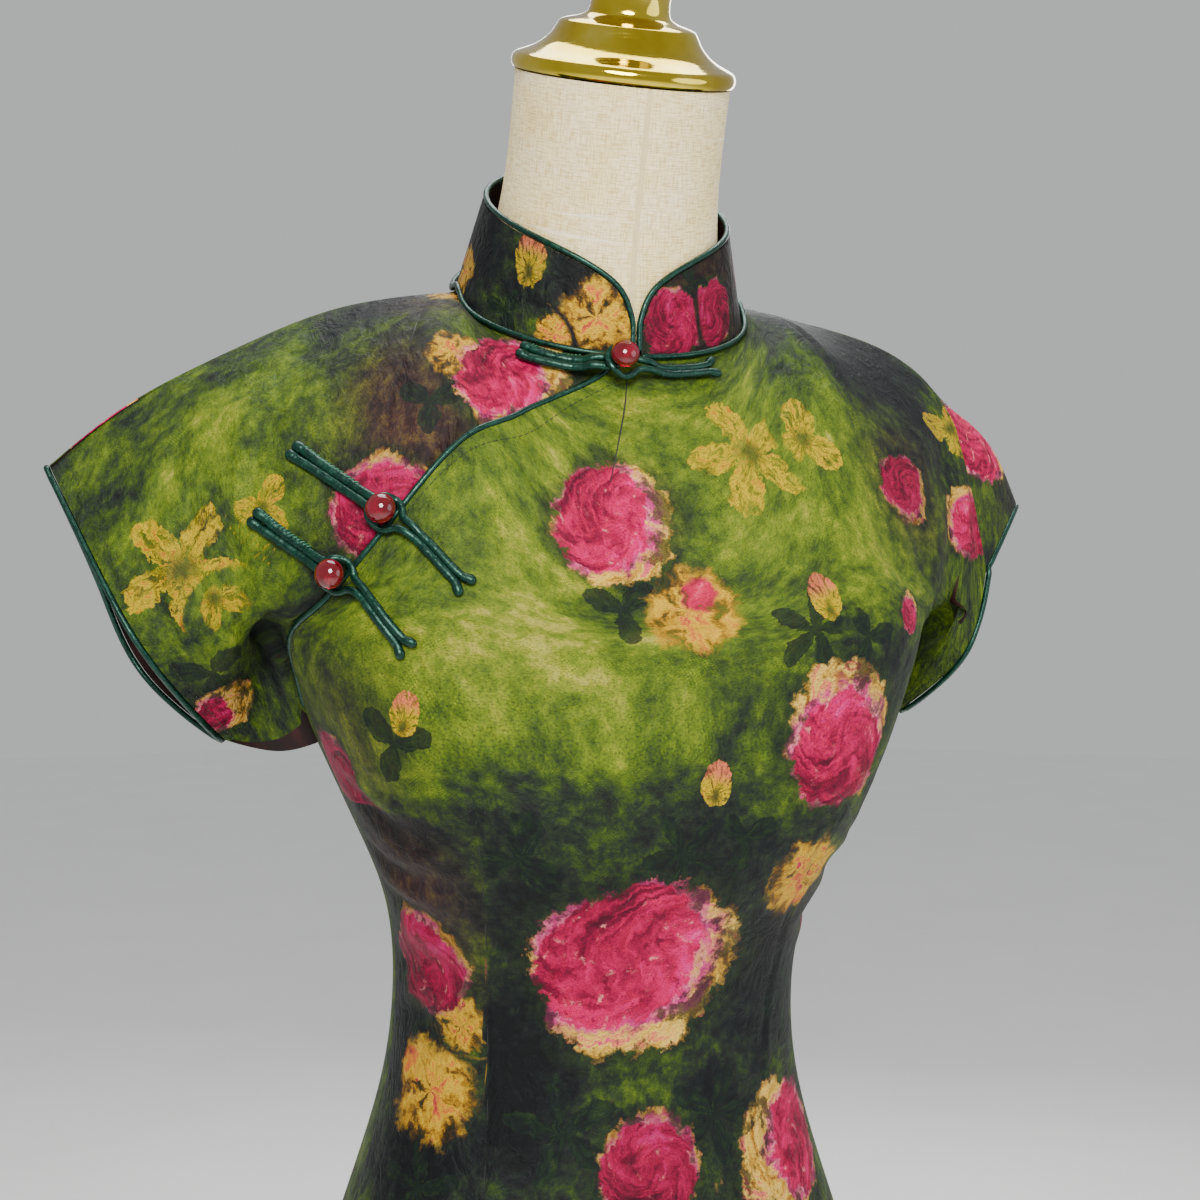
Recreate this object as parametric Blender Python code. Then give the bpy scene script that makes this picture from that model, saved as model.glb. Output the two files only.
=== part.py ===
"""A short-sleeved cheongsam on a limbless dress form.

Metres, +Z up, the front of the dress faces -Y and the wearer's right is -X.
The dress is one smooth surface, read at (across, down): across runs from the centre line (0)
over the side neck point, the shoulder end and the sleeve to the cuff, and down runs from the
neckline and the overarm seam (0) over the armpit line (1) to the hem (2). Each panel is a wall
cut from that surface, and every trim lies on a panel's own points, moved out.
"""

import bmesh
import bpy
import numpy as np
from mathutils import Matrix

# Driving sizes
WALL = 0.0018          # cloth
SEAM_GAP = 0.0003      # between pieces that meet at a seam
LAP_DROP = 0.0045      # the piece below lies this much under the overlapping front
LAP_WIDTH = 0.018      # how far the piece below runs on under the overlapping front
LAP_START = 0.014      # how far outside the closing edge the piece below starts to dip
PIPING_RADIUS = 0.0015
CORD_RADIUS = 0.0020   # satin cord of the frogs
BUTTON_RADIUS = 0.0068
COLLAR_HEIGHT = 0.049
COLLAR_FRONT_HEIGHT = 0.024
HEM_HEIGHT = 0.40
SLIT_TOP = 0.58
SLIT_PARTING = 0.004   # how far each slit edge has moved from the side line at the hem
ARMPIT_HEIGHT = 1.10
FORM_CLEARANCE = 0.0006
BASE_RADIUS = 0.175
BASE_BOSS_RADIUS, BASE_BOSS_HEIGHT = 0.028, 0.030
BASE_THICKNESS = 0.012
POLE_RADIUS = 0.0125

# Distances across the panels from the centre line, measured on the cloth
NECK_MID, NECK_POINT, SHOULDER_MID = 0.040, 0.0755, 0.130
SHOULDER_END, SLEEVE_MID, CUFF = 0.190, 0.235, 0.280

# The neckline is an ellipse that leans forward; its angle runs from the front (0) to the back (180)
NECK_HALF_WIDTH, NECK_HALF_DEPTH, NECK_HALF_DROP = 0.0755, 0.065, 0.036
NECK_CENTRE = np.array((0.0, -0.009, 1.326))
SIDE_NECK_ANGLE = 98.0
NECK_LEAN, COLLAR_LEAN = 22.0, 18.0    # degrees that the neck and the collar lean forward
COLLAR_TAPER = 14.0    # degrees that the collar's sides lean in
NECK_LENGTH = 0.113
NECK_TOP_RADIUS = 0.0535

# Rings of the body: height, half width, front depth, back depth, middle, front and back fullness
BODY_RINGS = (
    (1.10, 0.146, 0.129, 0.098, 0.000, 0.110, 0.050),
    (1.06, 0.128, 0.125, 0.094, 0.000, 0.100, 0.050),
    (1.02, 0.112, 0.108, 0.088, 0.002, 0.070, 0.050),
    (0.965, 0.107, 0.087, 0.084, 0.004, 0.040, 0.040),
    (0.92, 0.112, 0.084, 0.099, 0.006, 0.030, 0.040),
    (0.86, 0.129, 0.092, 0.118, 0.008, 0.030, 0.040),
    (0.78, 0.153, 0.101, 0.126, 0.008, 0.040, 0.050),
    (0.68, 0.162, 0.105, 0.120, 0.008, 0.040, 0.050),
    (0.55, 0.163, 0.106, 0.112, 0.006, 0.040, 0.040),
    (0.40, 0.166, 0.110, 0.110, 0.005, 0.030, 0.030),
)

# Sections over the shoulder. A row is one section: distance across, then points (x, y, z) on
# the seam, at a third and at two thirds of the way down to the armpit line
FRONT_SECTIONS = (
    (0.0, None, (0.000, -0.097, 1.235), (0.000, -0.118, 1.165)),
    (NECK_MID, None, (0.045, -0.092, 1.247), (0.050, -0.120, 1.172)),
    (NECK_POINT, None, (0.081, -0.068, 1.287), (0.090, -0.112, 1.192)),
    (SHOULDER_MID, (0.130, 0.002, 1.322), (0.135, -0.058, 1.270), (0.136, -0.092, 1.182)),
)
BACK_SECTIONS = (
    (0.0, None, (0.000, 0.085, 1.290), (0.000, 0.098, 1.200)),
    (NECK_MID, None, (0.047, 0.082, 1.288), (0.050, 0.097, 1.200)),
    (NECK_POINT, None, (0.085, 0.066, 1.286), (0.090, 0.090, 1.195)),
    (SHOULDER_MID, (0.130, 0.002, 1.322), (0.138, 0.052, 1.270), (0.135, 0.074, 1.182)),
)
# Sections of each sleeve, as above, with the underarm point last. Side -1 is the wearer's right
SLEEVE_SECTIONS = {
    -1: (
        (SHOULDER_END, (0.188, 0.002, 1.297), (0.192, -0.046, 1.241), (0.176, -0.054, 1.160),
         (0.195, 0.044, 1.241), (0.179, 0.050, 1.160), None),
        (SLEEVE_MID, (0.235, 0.000, 1.270), (0.220, -0.040, 1.212), (0.194, -0.044, 1.146),
         (0.224, 0.038, 1.210), (0.198, 0.042, 1.144), (0.166, 0.002, 1.096)),
        (CUFF, (0.273, -0.003, 1.238), (0.247, -0.032, 1.184), (0.220, -0.038, 1.138),
         (0.250, 0.030, 1.180), (0.226, 0.036, 1.130), (0.191, 0.000, 1.102)),
    ),
    1: (
        (SHOULDER_END, (0.182, -0.010, 1.299), (0.189, -0.048, 1.240), (0.182, -0.054, 1.165),
         (0.196, 0.038, 1.258), (0.181, 0.050, 1.166), None),
        (SLEEVE_MID, (0.196, -0.036, 1.256), (0.196, -0.050, 1.208), (0.182, -0.046, 1.150),
         (0.228, 0.004, 1.252), (0.206, 0.040, 1.160), (0.164, 0.002, 1.098)),
        (CUFF, (0.206, -0.048, 1.188), (0.200, -0.048, 1.158), (0.188, -0.036, 1.130),
         (0.245, -0.012, 1.224), (0.234, 0.030, 1.164), (0.180, 0.004, 1.106)),
    ),
}

# The curved closing edge, from the centre front to the armpit: down, distance across
PLACKET = (
    (0.00, 0.004), (0.09, 0.013), (0.19, 0.031), (0.31, 0.049), (0.41, 0.064), (0.47, 0.078),
    (0.52, 0.094), (0.56, 0.111), (0.60, 0.128), (0.66, 0.143), (0.76, 0.151), (0.88, 0.163),
    (1.00, 0.190),
)

# Folds: panel, across and down at each end, half width across the fold, depth (a ridge is minus)
FOLDS = (
    ("front", -0.205, 0.42, -0.188, 0.92, 0.018, 0.0065),
    ("front", -0.172, 0.55, -0.180, 0.96, 0.014, 0.0040),
    ("front", -0.236, 0.80, -0.200, 0.97, 0.014, 0.0035),
    ("front", 0.188, 0.22, 0.184, 0.80, 0.018, 0.0075),
    ("front", 0.215, 0.45, 0.198, 0.92, 0.014, 0.0040),
    ("back", -0.198, 0.40, -0.186, 0.92, 0.018, 0.0065),
    ("back", 0.198, 0.40, 0.186, 0.92, 0.018, 0.0065),
    ("back", -0.150, 1.08, -0.050, 1.20, 0.020, 0.0030),
    ("back", 0.150, 1.08, 0.050, 1.20, 0.020, 0.0030),
)

LANE = 0.0021          # half the distance between a frog's two lanes of cord
LANE_FLARE = 0.0048    # and at its spread ends
LOOP_RADIUS = 0.0088
CORD_REST = 0.0024     # height of a cord's middle above the cloth
CORD_LIFT = 0.0036     # and where it crosses the closing edge's piping
LOOP_RISE = 0.0040     # how much higher the loop is where it crosses the ball wing
BUTTON_FLATNESS = 0.86

# Frogs: button, end of the ball wing and end of the loop wing, each as (across, down), then the
# height of the cord's middle where it crosses the piping
FROGS = (
    ("collar", (-0.006, 0.054), (-0.038, 0.078), (0.027, 0.074), 0.0067),
    ("upper", (-0.119, 0.560), (-0.157, 0.385), (-0.073, 0.730), CORD_LIFT),
    ("lower", (-0.141, 0.625), (-0.180, 0.455), (-0.087, 0.880), CORD_LIFT),
)

# The gold cap on the neck, turned: radius and height above the neck's top
CAP_PROFILE = (
    (0.0, 0.0003), (0.0540, 0.0003), (0.0555, 0.0020), (0.0558, 0.0048), (0.0545, 0.0076),
    (0.0508, 0.0092), (0.0440, 0.0120), (0.0378, 0.0172), (0.0345, 0.0230), (0.0328, 0.0254),
    (0.0216, 0.0280), (0.0192, 0.0318), (0.0196, 0.0430), (0.0224, 0.0508), (0.0192, 0.0585),
    (0.0112, 0.0638), (0.0, 0.0656),
)

# How finely each stretch is divided; the closing edge turns fastest about half way down
ROWS_ABOVE = (
    0, 0.06, 0.12, 0.19, 0.26, 0.33, 0.40, 0.46, 0.505, 0.54, 0.575, 0.61, 0.66, 0.73, 0.81, 0.88,
    0.945, 1,
)
ROWS_BELOW, FORM_ROWS_BELOW = 20, 12
COLUMNS_NECK, COLUMNS_SHOULDER, COLUMNS_SLEEVE = 4, 6, 5
ARM_END_TOP = 0.160     # how far across the form reaches on the shoulder

# Colours (linear), roughness and metallic value
MATERIALS = {
    "print_silk": ((0.085, 0.115, 0.025), 0.55, 0.0),
    "green_satin": ((0.008, 0.060, 0.035), 0.35, 0.0),
    "red_glass": ((0.35, 0.004, 0.015), 0.08, 0.0),
    "linen": ((0.62, 0.55, 0.43), 0.85, 0.0),
    "polished_gold": ((0.80, 0.58, 0.18), 0.15, 1.0),
}


def spline_weights(knots, at):
    """Rows of weights that give a natural cubic spline through any values at these knots."""
    knots, at = np.asarray(knots, float), np.atleast_1d(np.asarray(at, float))
    count, step = len(knots), np.diff(knots)
    system, right = np.eye(count), np.zeros((count, count))
    for i in range(1, count - 1):
        system[i, i - 1 : i + 2] = step[i - 1], 2 * (step[i - 1] + step[i]), step[i]
        right[i, i - 1 : i + 2] = (
            6 / step[i - 1], -6 / step[i - 1] - 6 / step[i], 6 / step[i]
        )
    bend = np.linalg.solve(system, right)
    span = np.clip(np.searchsorted(knots, at, side="right") - 1, 0, count - 2)
    width = step[span]
    after = ((at - knots[span]) / width)[:, None]
    before = 1 - after
    values = np.eye(count)
    curve = (before**3 - before) * bend[span] + (after**3 - after) * bend[span + 1]
    return before * values[span] + after * values[span + 1] + curve * width[:, None] ** 2 / 6


def spline(knots, values, at):
    """Values of the natural cubic spline through these knots."""
    return spline_weights(knots, at) @ np.asarray(values, float)


def unit(vectors):
    return vectors / np.maximum(np.linalg.norm(vectors, axis=-1, keepdims=True), 1e-12)


def neckline(angle):
    """Points of the neckline at angles in degrees; negative angles are the wearer's right."""
    turn = np.radians(np.asarray(angle, float))
    sweep = np.stack(
        (NECK_HALF_WIDTH * np.sin(turn), -NECK_HALF_DEPTH * np.cos(turn), -NECK_HALF_DROP * np.cos(turn)),
        axis=-1,
    )
    return NECK_CENTRE + sweep


def body_ring(panel, row, across):
    """Points of one body ring, half an oval from the centre line to the side seams."""
    height, half_width, front, back, middle, front_fullness, back_fullness = row
    depth, fullness = (-front, front_fullness) if panel == "front" else (back, back_fullness)
    turn = np.clip(across / SHOULDER_END, -1, 1) * np.pi / 2
    swell = 1 + fullness * np.sin(2 * turn) ** 2
    return np.stack(
        (half_width * np.sin(turn) * swell, middle + depth * np.cos(turn) * swell, np.full_like(turn, height)),
        axis=-1,
    )


def section_rows(panel, side):
    """The section tables of one side as (across, seam, upper, lower, underarm) rows."""
    flip = np.array((side, 1.0, 1.0))
    inner = FRONT_SECTIONS if panel == "front" else BACK_SECTIONS
    rows = [(a, s, u, l, None) for a, s, u, l in inner]
    for across, seam, front_upper, front_lower, back_upper, back_lower, under in SLEEVE_SECTIONS[side]:
        upper, lower = (front_upper, front_lower) if panel == "front" else (back_upper, back_lower)
        rows.append((across, seam, upper, lower, under))
    return [
        (row[0], *(None if point is None else flip * point for point in row[1:])) for row in rows
    ]


def top_edge(panel, across):
    """Points of the neckline and, beyond the side neck point, of the overarm seam."""
    across = np.asarray(across, float)
    share = np.clip(np.abs(across) / NECK_POINT, 0, 1) * np.sign(across + 1e-12)
    if panel == "front":
        points = neckline(share * SIDE_NECK_ANGLE)
    else:
        points = neckline(np.sign(share + 1e-12) * (180 - np.abs(share) * (180 - SIDE_NECK_ANGLE)))
    for side in (-1, 1):
        outer = side * across > NECK_POINT
        rows = [row for row in section_rows(panel, side) if row[1] is not None]
        knots = [NECK_POINT] + [row[0] for row in rows]
        values = [neckline(side * SIDE_NECK_ANGLE)] + [row[1] for row in rows]
        points[outer] = spline(knots, values, np.abs(across[outer]))
    return points


def inner_row(panel, across, which):
    """Points a third (which 2) or two thirds (3) of the way down, smooth from cuff to cuff."""
    right, left = section_rows(panel, -1), section_rows(panel, 1)
    rows = right[:0:-1] + left
    knots = [-row[0] for row in right[:0:-1]] + [row[0] for row in left]
    return spline(knots, [row[which] for row in rows], across)


def armpit_row(panel, across):
    """Points of the armpit line, which runs on as the underarm seam of each sleeve."""
    points = body_ring(panel, BODY_RINGS[0], across)
    for side in (-1, 1):
        outer = side * across > SHOULDER_END
        rows = [row for row in section_rows(panel, side) if row[4] is not None]
        start = body_ring(panel, BODY_RINGS[0], np.array([side * SHOULDER_END]))[0]
        knots = [SHOULDER_END] + [row[0] for row in rows]
        points[outer] = spline(knots, [start] + [row[4] for row in rows], np.abs(across[outer]))
    return points


DOWN_KNOTS = [0, 1 / 3, 2 / 3] + [
    1 + (ARMPIT_HEIGHT - row[0]) / (ARMPIT_HEIGHT - HEM_HEIGHT) for row in BODY_RINGS
]


def smooth_surface(panel, across, down):
    """Points of the dress without its folds; the panels share one side seam below the armpit."""
    across, down = np.broadcast_arrays(np.asarray(across, float), np.asarray(down, float))
    points = panel_surface(panel, across, down)
    if (down > 1).any():
        edge = np.where(across < 0, -SHOULDER_END, SHOULDER_END)
        other = "back" if panel == "front" else "front"
        apart = panel_surface(other, edge, down) - panel_surface(panel, edge, down)
        share = smooth_step((np.abs(across) / SHOULDER_END - 0.7) / 0.3) * (down > 1)
        points = points + share[..., None] * apart / 2
    return points


def panel_surface(panel, across, down):
    """Points of one panel from its own sections and rings alone."""
    flat_across, flat_down = across.ravel(), down.ravel()
    rows = [top_edge(panel, flat_across)]
    rows += [inner_row(panel, flat_across, which) for which in (2, 3)]
    armpit = armpit_row(panel, flat_across)
    on_sleeve = np.clip((np.abs(flat_across) - SHOULDER_END) / (CUFF - SHOULDER_END), 0, 1)[:, None]
    first = body_ring(panel, BODY_RINGS[0], flat_across)
    rows.append(armpit)
    for row in BODY_RINGS[1:]:
        rows.append(armpit + (body_ring(panel, row, flat_across) - first) * (1 - on_sleeve))
    weights = spline_weights(DOWN_KNOTS, flat_down)
    points = np.einsum("nk,knc->nc", weights, np.array(rows))
    return points.reshape(*across.shape, 3)


def smooth_normal(panel, across, down, surface=smooth_surface):
    """Outward unit normals, from points a little to each side."""
    step = 1e-3
    across, down = np.broadcast_arrays(np.asarray(across, float), np.asarray(down, float))
    left, right = np.maximum(across - step, -CUFF), np.minimum(across + step, CUFF)
    above, below = np.maximum(down - step, 0), np.minimum(down + step, 2)
    along = surface(panel, right, down) - surface(panel, left, down)
    fall = surface(panel, across, below) - surface(panel, across, above)
    normal = unit(np.cross(fall, along))
    return normal if panel == "front" else -normal


def fold_depth(panel, across, down):
    """How far the folds push the cloth in at each point."""
    depth = np.zeros(np.shape(across))
    for where, across_a, down_a, across_b, down_b, half_width, deep in FOLDS:
        if where != panel:
            continue
        # One step down is about a quarter metre above the armpit line and 0.7 m below it
        scale = 0.24 if max(down_a, down_b) <= 1 else ARMPIT_HEIGHT - HEM_HEIGHT
        run = np.array((across_b - across_a, (down_b - down_a) * scale))
        offset = np.stack((across - across_a, (down - down_a) * scale), axis=-1)
        share = np.clip(offset @ run / (run @ run), 0, 1)
        away = np.linalg.norm(offset - share[..., None] * run, axis=-1)
        taper = 0.35 + 0.65 * np.sin(np.pi * np.clip(share, 0.0, 1.0)) ** 0.7
        depth += deep * taper * np.exp(-((away / half_width) ** 2))
    return depth


def dress_surface(panel, across, down):
    """Points of the outer face of the dress."""
    across, down = np.broadcast_arrays(np.asarray(across, float), np.asarray(down, float))
    points = smooth_surface(panel, across, down)
    push = fold_depth(panel, across, down) * seam_fade(across, down)
    return points - push[..., None] * smooth_normal(panel, across, down)


def seam_fade(across, down):
    """1 on a panel and 0 at its seams, so that folds leave the seams where they are."""
    beside = np.maximum(SHOULDER_END - np.abs(across), 0) / 0.25
    room = np.minimum(down, np.hypot(np.maximum(1 - down, 0), beside))
    return np.clip(room / 0.12, 0, 1)


def dress_normal(panel, across, down):
    """Normals of the dress; at a seam the mean of the two panels', so their walls meet evenly."""
    across, down = np.broadcast_arrays(np.asarray(across, float), np.asarray(down, float))
    normal = smooth_normal(panel, across, down, dress_surface)
    reach = np.abs(across)
    overarm = (down < 1e-6) & (reach > NECK_POINT - 1e-6)
    underarm = (np.abs(down - 1) < 1e-6) & (reach > SHOULDER_END - 1e-6)
    side = (down > 1 - 1e-6) & (reach > SHOULDER_END - 1e-6)
    seam = overarm | underarm | side
    if seam.any():
        other = "back" if panel == "front" else "front"
        partner = smooth_normal(other, across[seam], down[seam], dress_surface)
        normal = normal.copy()
        normal[seam] = unit(normal[seam] + partner)
    return normal


def placket_across(down):
    """Distance of the closing edge from the centre line."""
    table = np.array(PLACKET)
    share = np.clip(np.asarray(down, float), 0, 1)
    return spline(table[:, 0], table[:, 1], share.ravel()).reshape(share.shape)


def smooth_step(share):
    share = np.clip(share, 0, 1)
    return share * share * (3 - 2 * share)


def lap_drop(across, down):
    """How far the right front dips on its way under the overlapping front."""
    return LAP_DROP * smooth_step((across + placket_across(down) + LAP_START) / (LAP_START - 0.002))


def grid_faces(rows, columns, offset=0):
    """Quads of a grid of points stored row by row."""
    index = np.arange(rows * columns).reshape(rows, columns) + offset
    quads = np.stack((index[:-1, :-1], index[1:, :-1], index[1:, 1:], index[:-1, 1:]), axis=-1)
    return quads.reshape(-1, 4)


def merge_points(points, faces):
    """Makes coinciding points one, and drops sides that shrink to nothing."""
    _, first, index = np.unique(
        np.round(points / 1e-6).astype(np.int64), axis=0, return_index=True, return_inverse=True
    )
    index = index.reshape(-1)
    cleaned = []
    for face in faces:
        ring = [int(index[i]) for i in face]
        ring = [v for i, v in enumerate(ring) if v != ring[i - 1]]
        if len(ring) > 2:
            cleaned.append(ring)
    return points[first], cleaned, first


def border_edges(faces):
    """Directed edges that only one face has."""
    edges = {(face[i - 1], face[i]) for face in faces for i in range(len(face))}
    return [edge for edge in edges if (edge[1], edge[0]) not in edges]


def make_object(name, points, faces, material):
    """One closed object of triangles, with its faces turned outwards."""
    triangles = [(face[0], face[i], face[i + 1]) for face in faces for i in range(1, len(face) - 1)]
    shape = bmesh.new()
    corners = [shape.verts.new(point) for point in points]
    for triangle in triangles:
        shape.faces.new([corners[i] for i in triangle])
    bmesh.ops.recalc_face_normals(shape, faces=shape.faces)
    mesh = bpy.data.meshes.new(name)
    shape.to_mesh(mesh)
    shape.free()
    mesh.shade_smooth()
    mesh.set_sharp_from_angle(angle=np.radians(50))
    mesh.materials.append(bpy.data.materials[material])
    bpy.context.scene.collection.objects.link(bpy.data.objects.new(name, mesh))


def make_wall(name, points, normals, faces, thickness, material, inset=SEAM_GAP / 2 + 5e-5):
    """A wall whose outer face is this mesh; its border is drawn in a little to part it at seams."""
    points, faces, first = merge_points(points.reshape(-1, 3), faces)
    normals = normals.reshape(-1, 3)[first]
    border = border_edges(faces)
    pull = np.zeros_like(points)
    for a, b in border:
        inward = unit(np.cross(normals[a] + normals[b], points[b] - points[a]))
        pull[a] += inward
        pull[b] += inward
    centre_side = np.zeros_like(points)
    for face in faces:
        middle = points[face].mean(axis=0)
        for v in face:
            centre_side[v] += middle - points[v]
    facing = np.sign(np.sum(pull * centre_side, axis=1, keepdims=True))
    outer = points + inset * unit(pull) * facing * (np.linalg.norm(pull, axis=1, keepdims=True) > 0)
    inner = outer - thickness * normals
    count = len(outer)
    solid = list(faces) + [[v + count for v in face[:1] + face[:0:-1]] for face in faces]
    solid += [[b, a, a + count, b + count] for a, b in border]
    make_object(name, np.vstack((outer, inner)), solid, material)


def sweep(path, normals, radius, sides, closed=False, flatten=1.0):
    """Points and faces of a tube along a path, its section set square to the path."""
    path = np.asarray(path, float)
    before, after = np.roll(path, 1, axis=0), np.roll(path, -1, axis=0)
    if not closed:
        before[0], after[-1] = path[0], path[-1]
    ahead = unit(after - before)
    across = unit(np.cross(ahead, normals))
    up = unit(np.cross(across, ahead))
    turns = np.arange(sides) * 2 * np.pi / sides
    points = (
        path[:, None]
        + radius * np.cos(turns)[None, :, None] * across[:, None]
        + radius * flatten * np.sin(turns)[None, :, None] * up[:, None]
    ).reshape(-1, 3)
    count = len(path)
    faces = []
    for i in range(count if closed else count - 1):
        for k in range(sides):
            a, b = i * sides + k, i * sides + (k + 1) % sides
            c, d = (i + 1) % count * sides + (k + 1) % sides, (i + 1) % count * sides + k
            faces.append([a, b, c, d])
    if not closed:
        faces.append(list(range(sides))[::-1])
        faces.append(list(range((count - 1) * sides, count * sides)))
    return points, faces


def turned(profile, segments, centre, axis):
    """Points and faces of a profile of (radius, height) rows turned about an axis."""
    axis = unit(np.asarray(axis, float))
    side = unit(np.cross(axis, (0.0, 1.0, 0.0)))
    third = np.cross(axis, side)
    points, faces, rings = [], [], []
    for radius, height in profile:
        if radius == 0:
            rings.append([len(points)])
            points.append(centre + height * axis)
            continue
        rings.append(list(range(len(points), len(points) + segments)))
        for k in range(segments):
            turn = 2 * np.pi * k / segments
            points.append(centre + height * axis + radius * (np.cos(turn) * side + np.sin(turn) * third))
    for low, high in zip(rings, rings[1:]):
        for k in range(segments):
            a, b = low[k % len(low)], low[(k + 1) % len(low)]
            c, d = high[(k + 1) % len(high)], high[k % len(high)]
            ring = [a, b, c, d]
            faces.append([v for i, v in enumerate(ring) if v != ring[i - 1]])
    return np.array(points), faces


def down_above():
    return np.array(ROWS_ABOVE, float)


def down_below(rows=ROWS_BELOW):
    return 1 + np.arange(rows + 1) / ROWS_BELOW


def body_columns():
    neck = np.linspace(0, NECK_POINT, COLUMNS_NECK + 1)
    return np.concatenate((neck, np.linspace(NECK_POINT, SHOULDER_END, COLUMNS_SHOULDER + 1)[1:]))


def side_columns():
    return np.concatenate((body_columns(), np.linspace(SHOULDER_END, CUFF, COLUMNS_SLEEVE + 1)[1:]))


def slit_shift(panel, across, down):
    """Draws the side edges apart below the slit's top."""
    start = 1 + (ARMPIT_HEIGHT - SLIT_TOP) / (ARMPIT_HEIGHT - HEM_HEIGHT)
    share = np.clip((down - start) / (2 - start), 0, 1)
    near = np.clip((np.abs(across) / SHOULDER_END - 0.6) / 0.4, 0, 1) ** 2
    away = -1 if panel == "front" else 1
    shift = np.zeros((*np.shape(across), 3))
    shift[..., 1] = away * SLIT_PARTING * share * near
    return shift


def mirrored(columns):
    return np.concatenate((-columns[:0:-1], columns))


def panel_grids(panel, grids):
    """Points, normals and faces of a panel given as (across, down) grids."""
    points, normals, faces, offset = [], [], [], 0
    for across, down in grids:
        normals.append(dress_normal(panel, across, down).reshape(-1, 3))
        point = dress_surface(panel, across, down) + slit_shift(panel, across, down)
        points.append(point.reshape(-1, 3))
        faces += grid_faces(*across.shape, offset).tolist()
        offset += across.size
    return np.vstack(points), np.vstack(normals), faces


def make_front():
    """The overlapping front: the left shoulder and sleeve, the whole body and the closing edge."""
    above, below = down_above()[:, None], down_below()[:, None]
    share = body_columns()[None, ::-1] / SHOULDER_END
    grids = [
        np.broadcast_arrays(side_columns()[None, :], above),
        np.broadcast_arrays(-placket_across(above) * share, above),
        np.broadcast_arrays(mirrored(body_columns())[None, :], below),
    ]
    make_wall("front", *panel_grids("front", grids), WALL, "print_silk")


def make_right_front():
    """The right shoulder and sleeve front, which runs on under the closing edge."""
    down = down_above()[:, None]
    closing, level = placket_across(down), LAP_START
    under = closing + np.array((-LAP_WIDTH, -0.001, 0.004, level))[None, :]
    # The rest keeps the back's columns along the overarm seam and crowds together further down
    share = (side_columns()[2:] - PLACKET[0][1] - level) / (CUFF - PLACKET[0][1] - level)
    across = -np.hstack((under, closing + level + (CUFF - closing - level) * share[None, :]))
    down = down + 0 * across
    normal = dress_normal("front", across, down)
    points = dress_surface("front", across, down) - lap_drop(across, down)[..., None] * normal
    make_wall("right_front", points, normal, grid_faces(*across.shape).tolist(), WALL, "print_silk")


def make_back():
    above, below = down_above()[:, None], down_below()[:, None]
    grids = [
        np.broadcast_arrays(mirrored(side_columns())[None, :], above),
        np.broadcast_arrays(mirrored(body_columns())[None, :], below),
    ]
    make_wall("back", *panel_grids("back", grids), WALL, "print_silk")


def leaning(degrees):
    """An upward direction that leans forward."""
    return np.array((0.0, -np.sin(np.radians(degrees)), np.cos(np.radians(degrees))))


def collar_height(angle):
    """Height of the collar, low and rounded where its ends meet at the front."""
    rise = 1 - np.exp(-np.abs(angle) / 20.0)
    return COLLAR_FRONT_HEIGHT + (COLLAR_HEIGHT - COLLAR_FRONT_HEIGHT) * rise


def collar_frame(angle):
    """Root points of the collar with their up and outward directions."""
    root = neckline(angle)
    spoke, axis, taper = root - NECK_CENTRE, leaning(COLLAR_LEAN), np.radians(COLLAR_TAPER)
    outward = unit(spoke - (spoke @ axis)[..., None] * axis)
    up = axis * np.cos(taper) - outward * np.sin(taper)
    out = outward * np.cos(taper) + axis * np.sin(taper)
    return root, up, out


def collar_angles(first):
    """Stations round half of the collar."""
    return np.concatenate(((first, 6, 10, 15, 21, 28), np.linspace(37, 180, 13)))


def make_collar():
    """The standing collar, open at the centre front."""
    half, lift = collar_angles(3.2), 0.0014
    angle = np.concatenate((half, -half[-2::-1]))
    root, up, out = collar_frame(angle)
    share = np.linspace(0, 1, 4)[:, None, None]
    height = collar_height(angle)[None, :, None]
    points = root + up * (lift + (height - lift) * share)
    normals = np.broadcast_to(out, points.shape)
    make_wall("collar", points, normals, grid_faces(4, len(angle)).tolist(), WALL, "print_silk")


def make_collar_piping():
    """Piping up one front end of the collar, round its top edge and down the other end."""
    along = PIPING_RADIUS + SEAM_GAP + 0.0001
    half = collar_angles(0)[1:]
    angle = np.concatenate(((1.45, 1.45, 1.45, 2.3), half))
    height = np.concatenate(((0.0062, 0.0164, 0.0265, 0.0298), collar_height(half) + along))
    angle = np.concatenate((angle, -angle[-2::-1]))
    height = np.concatenate((height, height[-2::-1]))
    root, up, out = collar_frame(angle)
    path = root + up * height[:, None] - out * WALL / 2
    finish_sweep("collar_piping", path, out, PIPING_RADIUS, 5)


def make_neckline_piping():
    """Piping in the corner between the collar and the body."""
    half = collar_angles(2.5)
    angle = np.concatenate((half, -half[-2::-1]))
    root, up, out = collar_frame(angle)
    behind, beside = 180 - np.abs(angle), ROWS_ABOVE[1] / 2
    front = dress_normal("front", np.clip(angle / SIDE_NECK_ANGLE, -1, 1) * NECK_POINT, beside)
    across = np.sign(angle) * np.minimum(behind / (180 - SIDE_NECK_ANGLE), 1) * NECK_POINT
    back = dress_normal("back", across, beside)
    share = smooth_step((SIDE_NECK_ANGLE + 12 - np.abs(angle)) / 24)[:, None]
    ahead = unit(np.gradient(root, axis=0))
    cloth, wall = (
        unit(side - np.sum(side * ahead, axis=1, keepdims=True) * ahead)
        for side in (front * share + back * (1 - share), out)
    )
    # The flat facets of the cloth stand out most beside the neck
    spare = 3 + 5 * np.exp(-(((np.abs(angle) - 76) / 14) ** 2))[:, None]
    clear = PIPING_RADIUS + spare * SEAM_GAP
    path = root + clear * (cloth + wall) / (1 + np.sum(cloth * wall, axis=1, keepdims=True))
    finish_sweep("neckline_piping", path, up, PIPING_RADIUS, 5)


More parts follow.
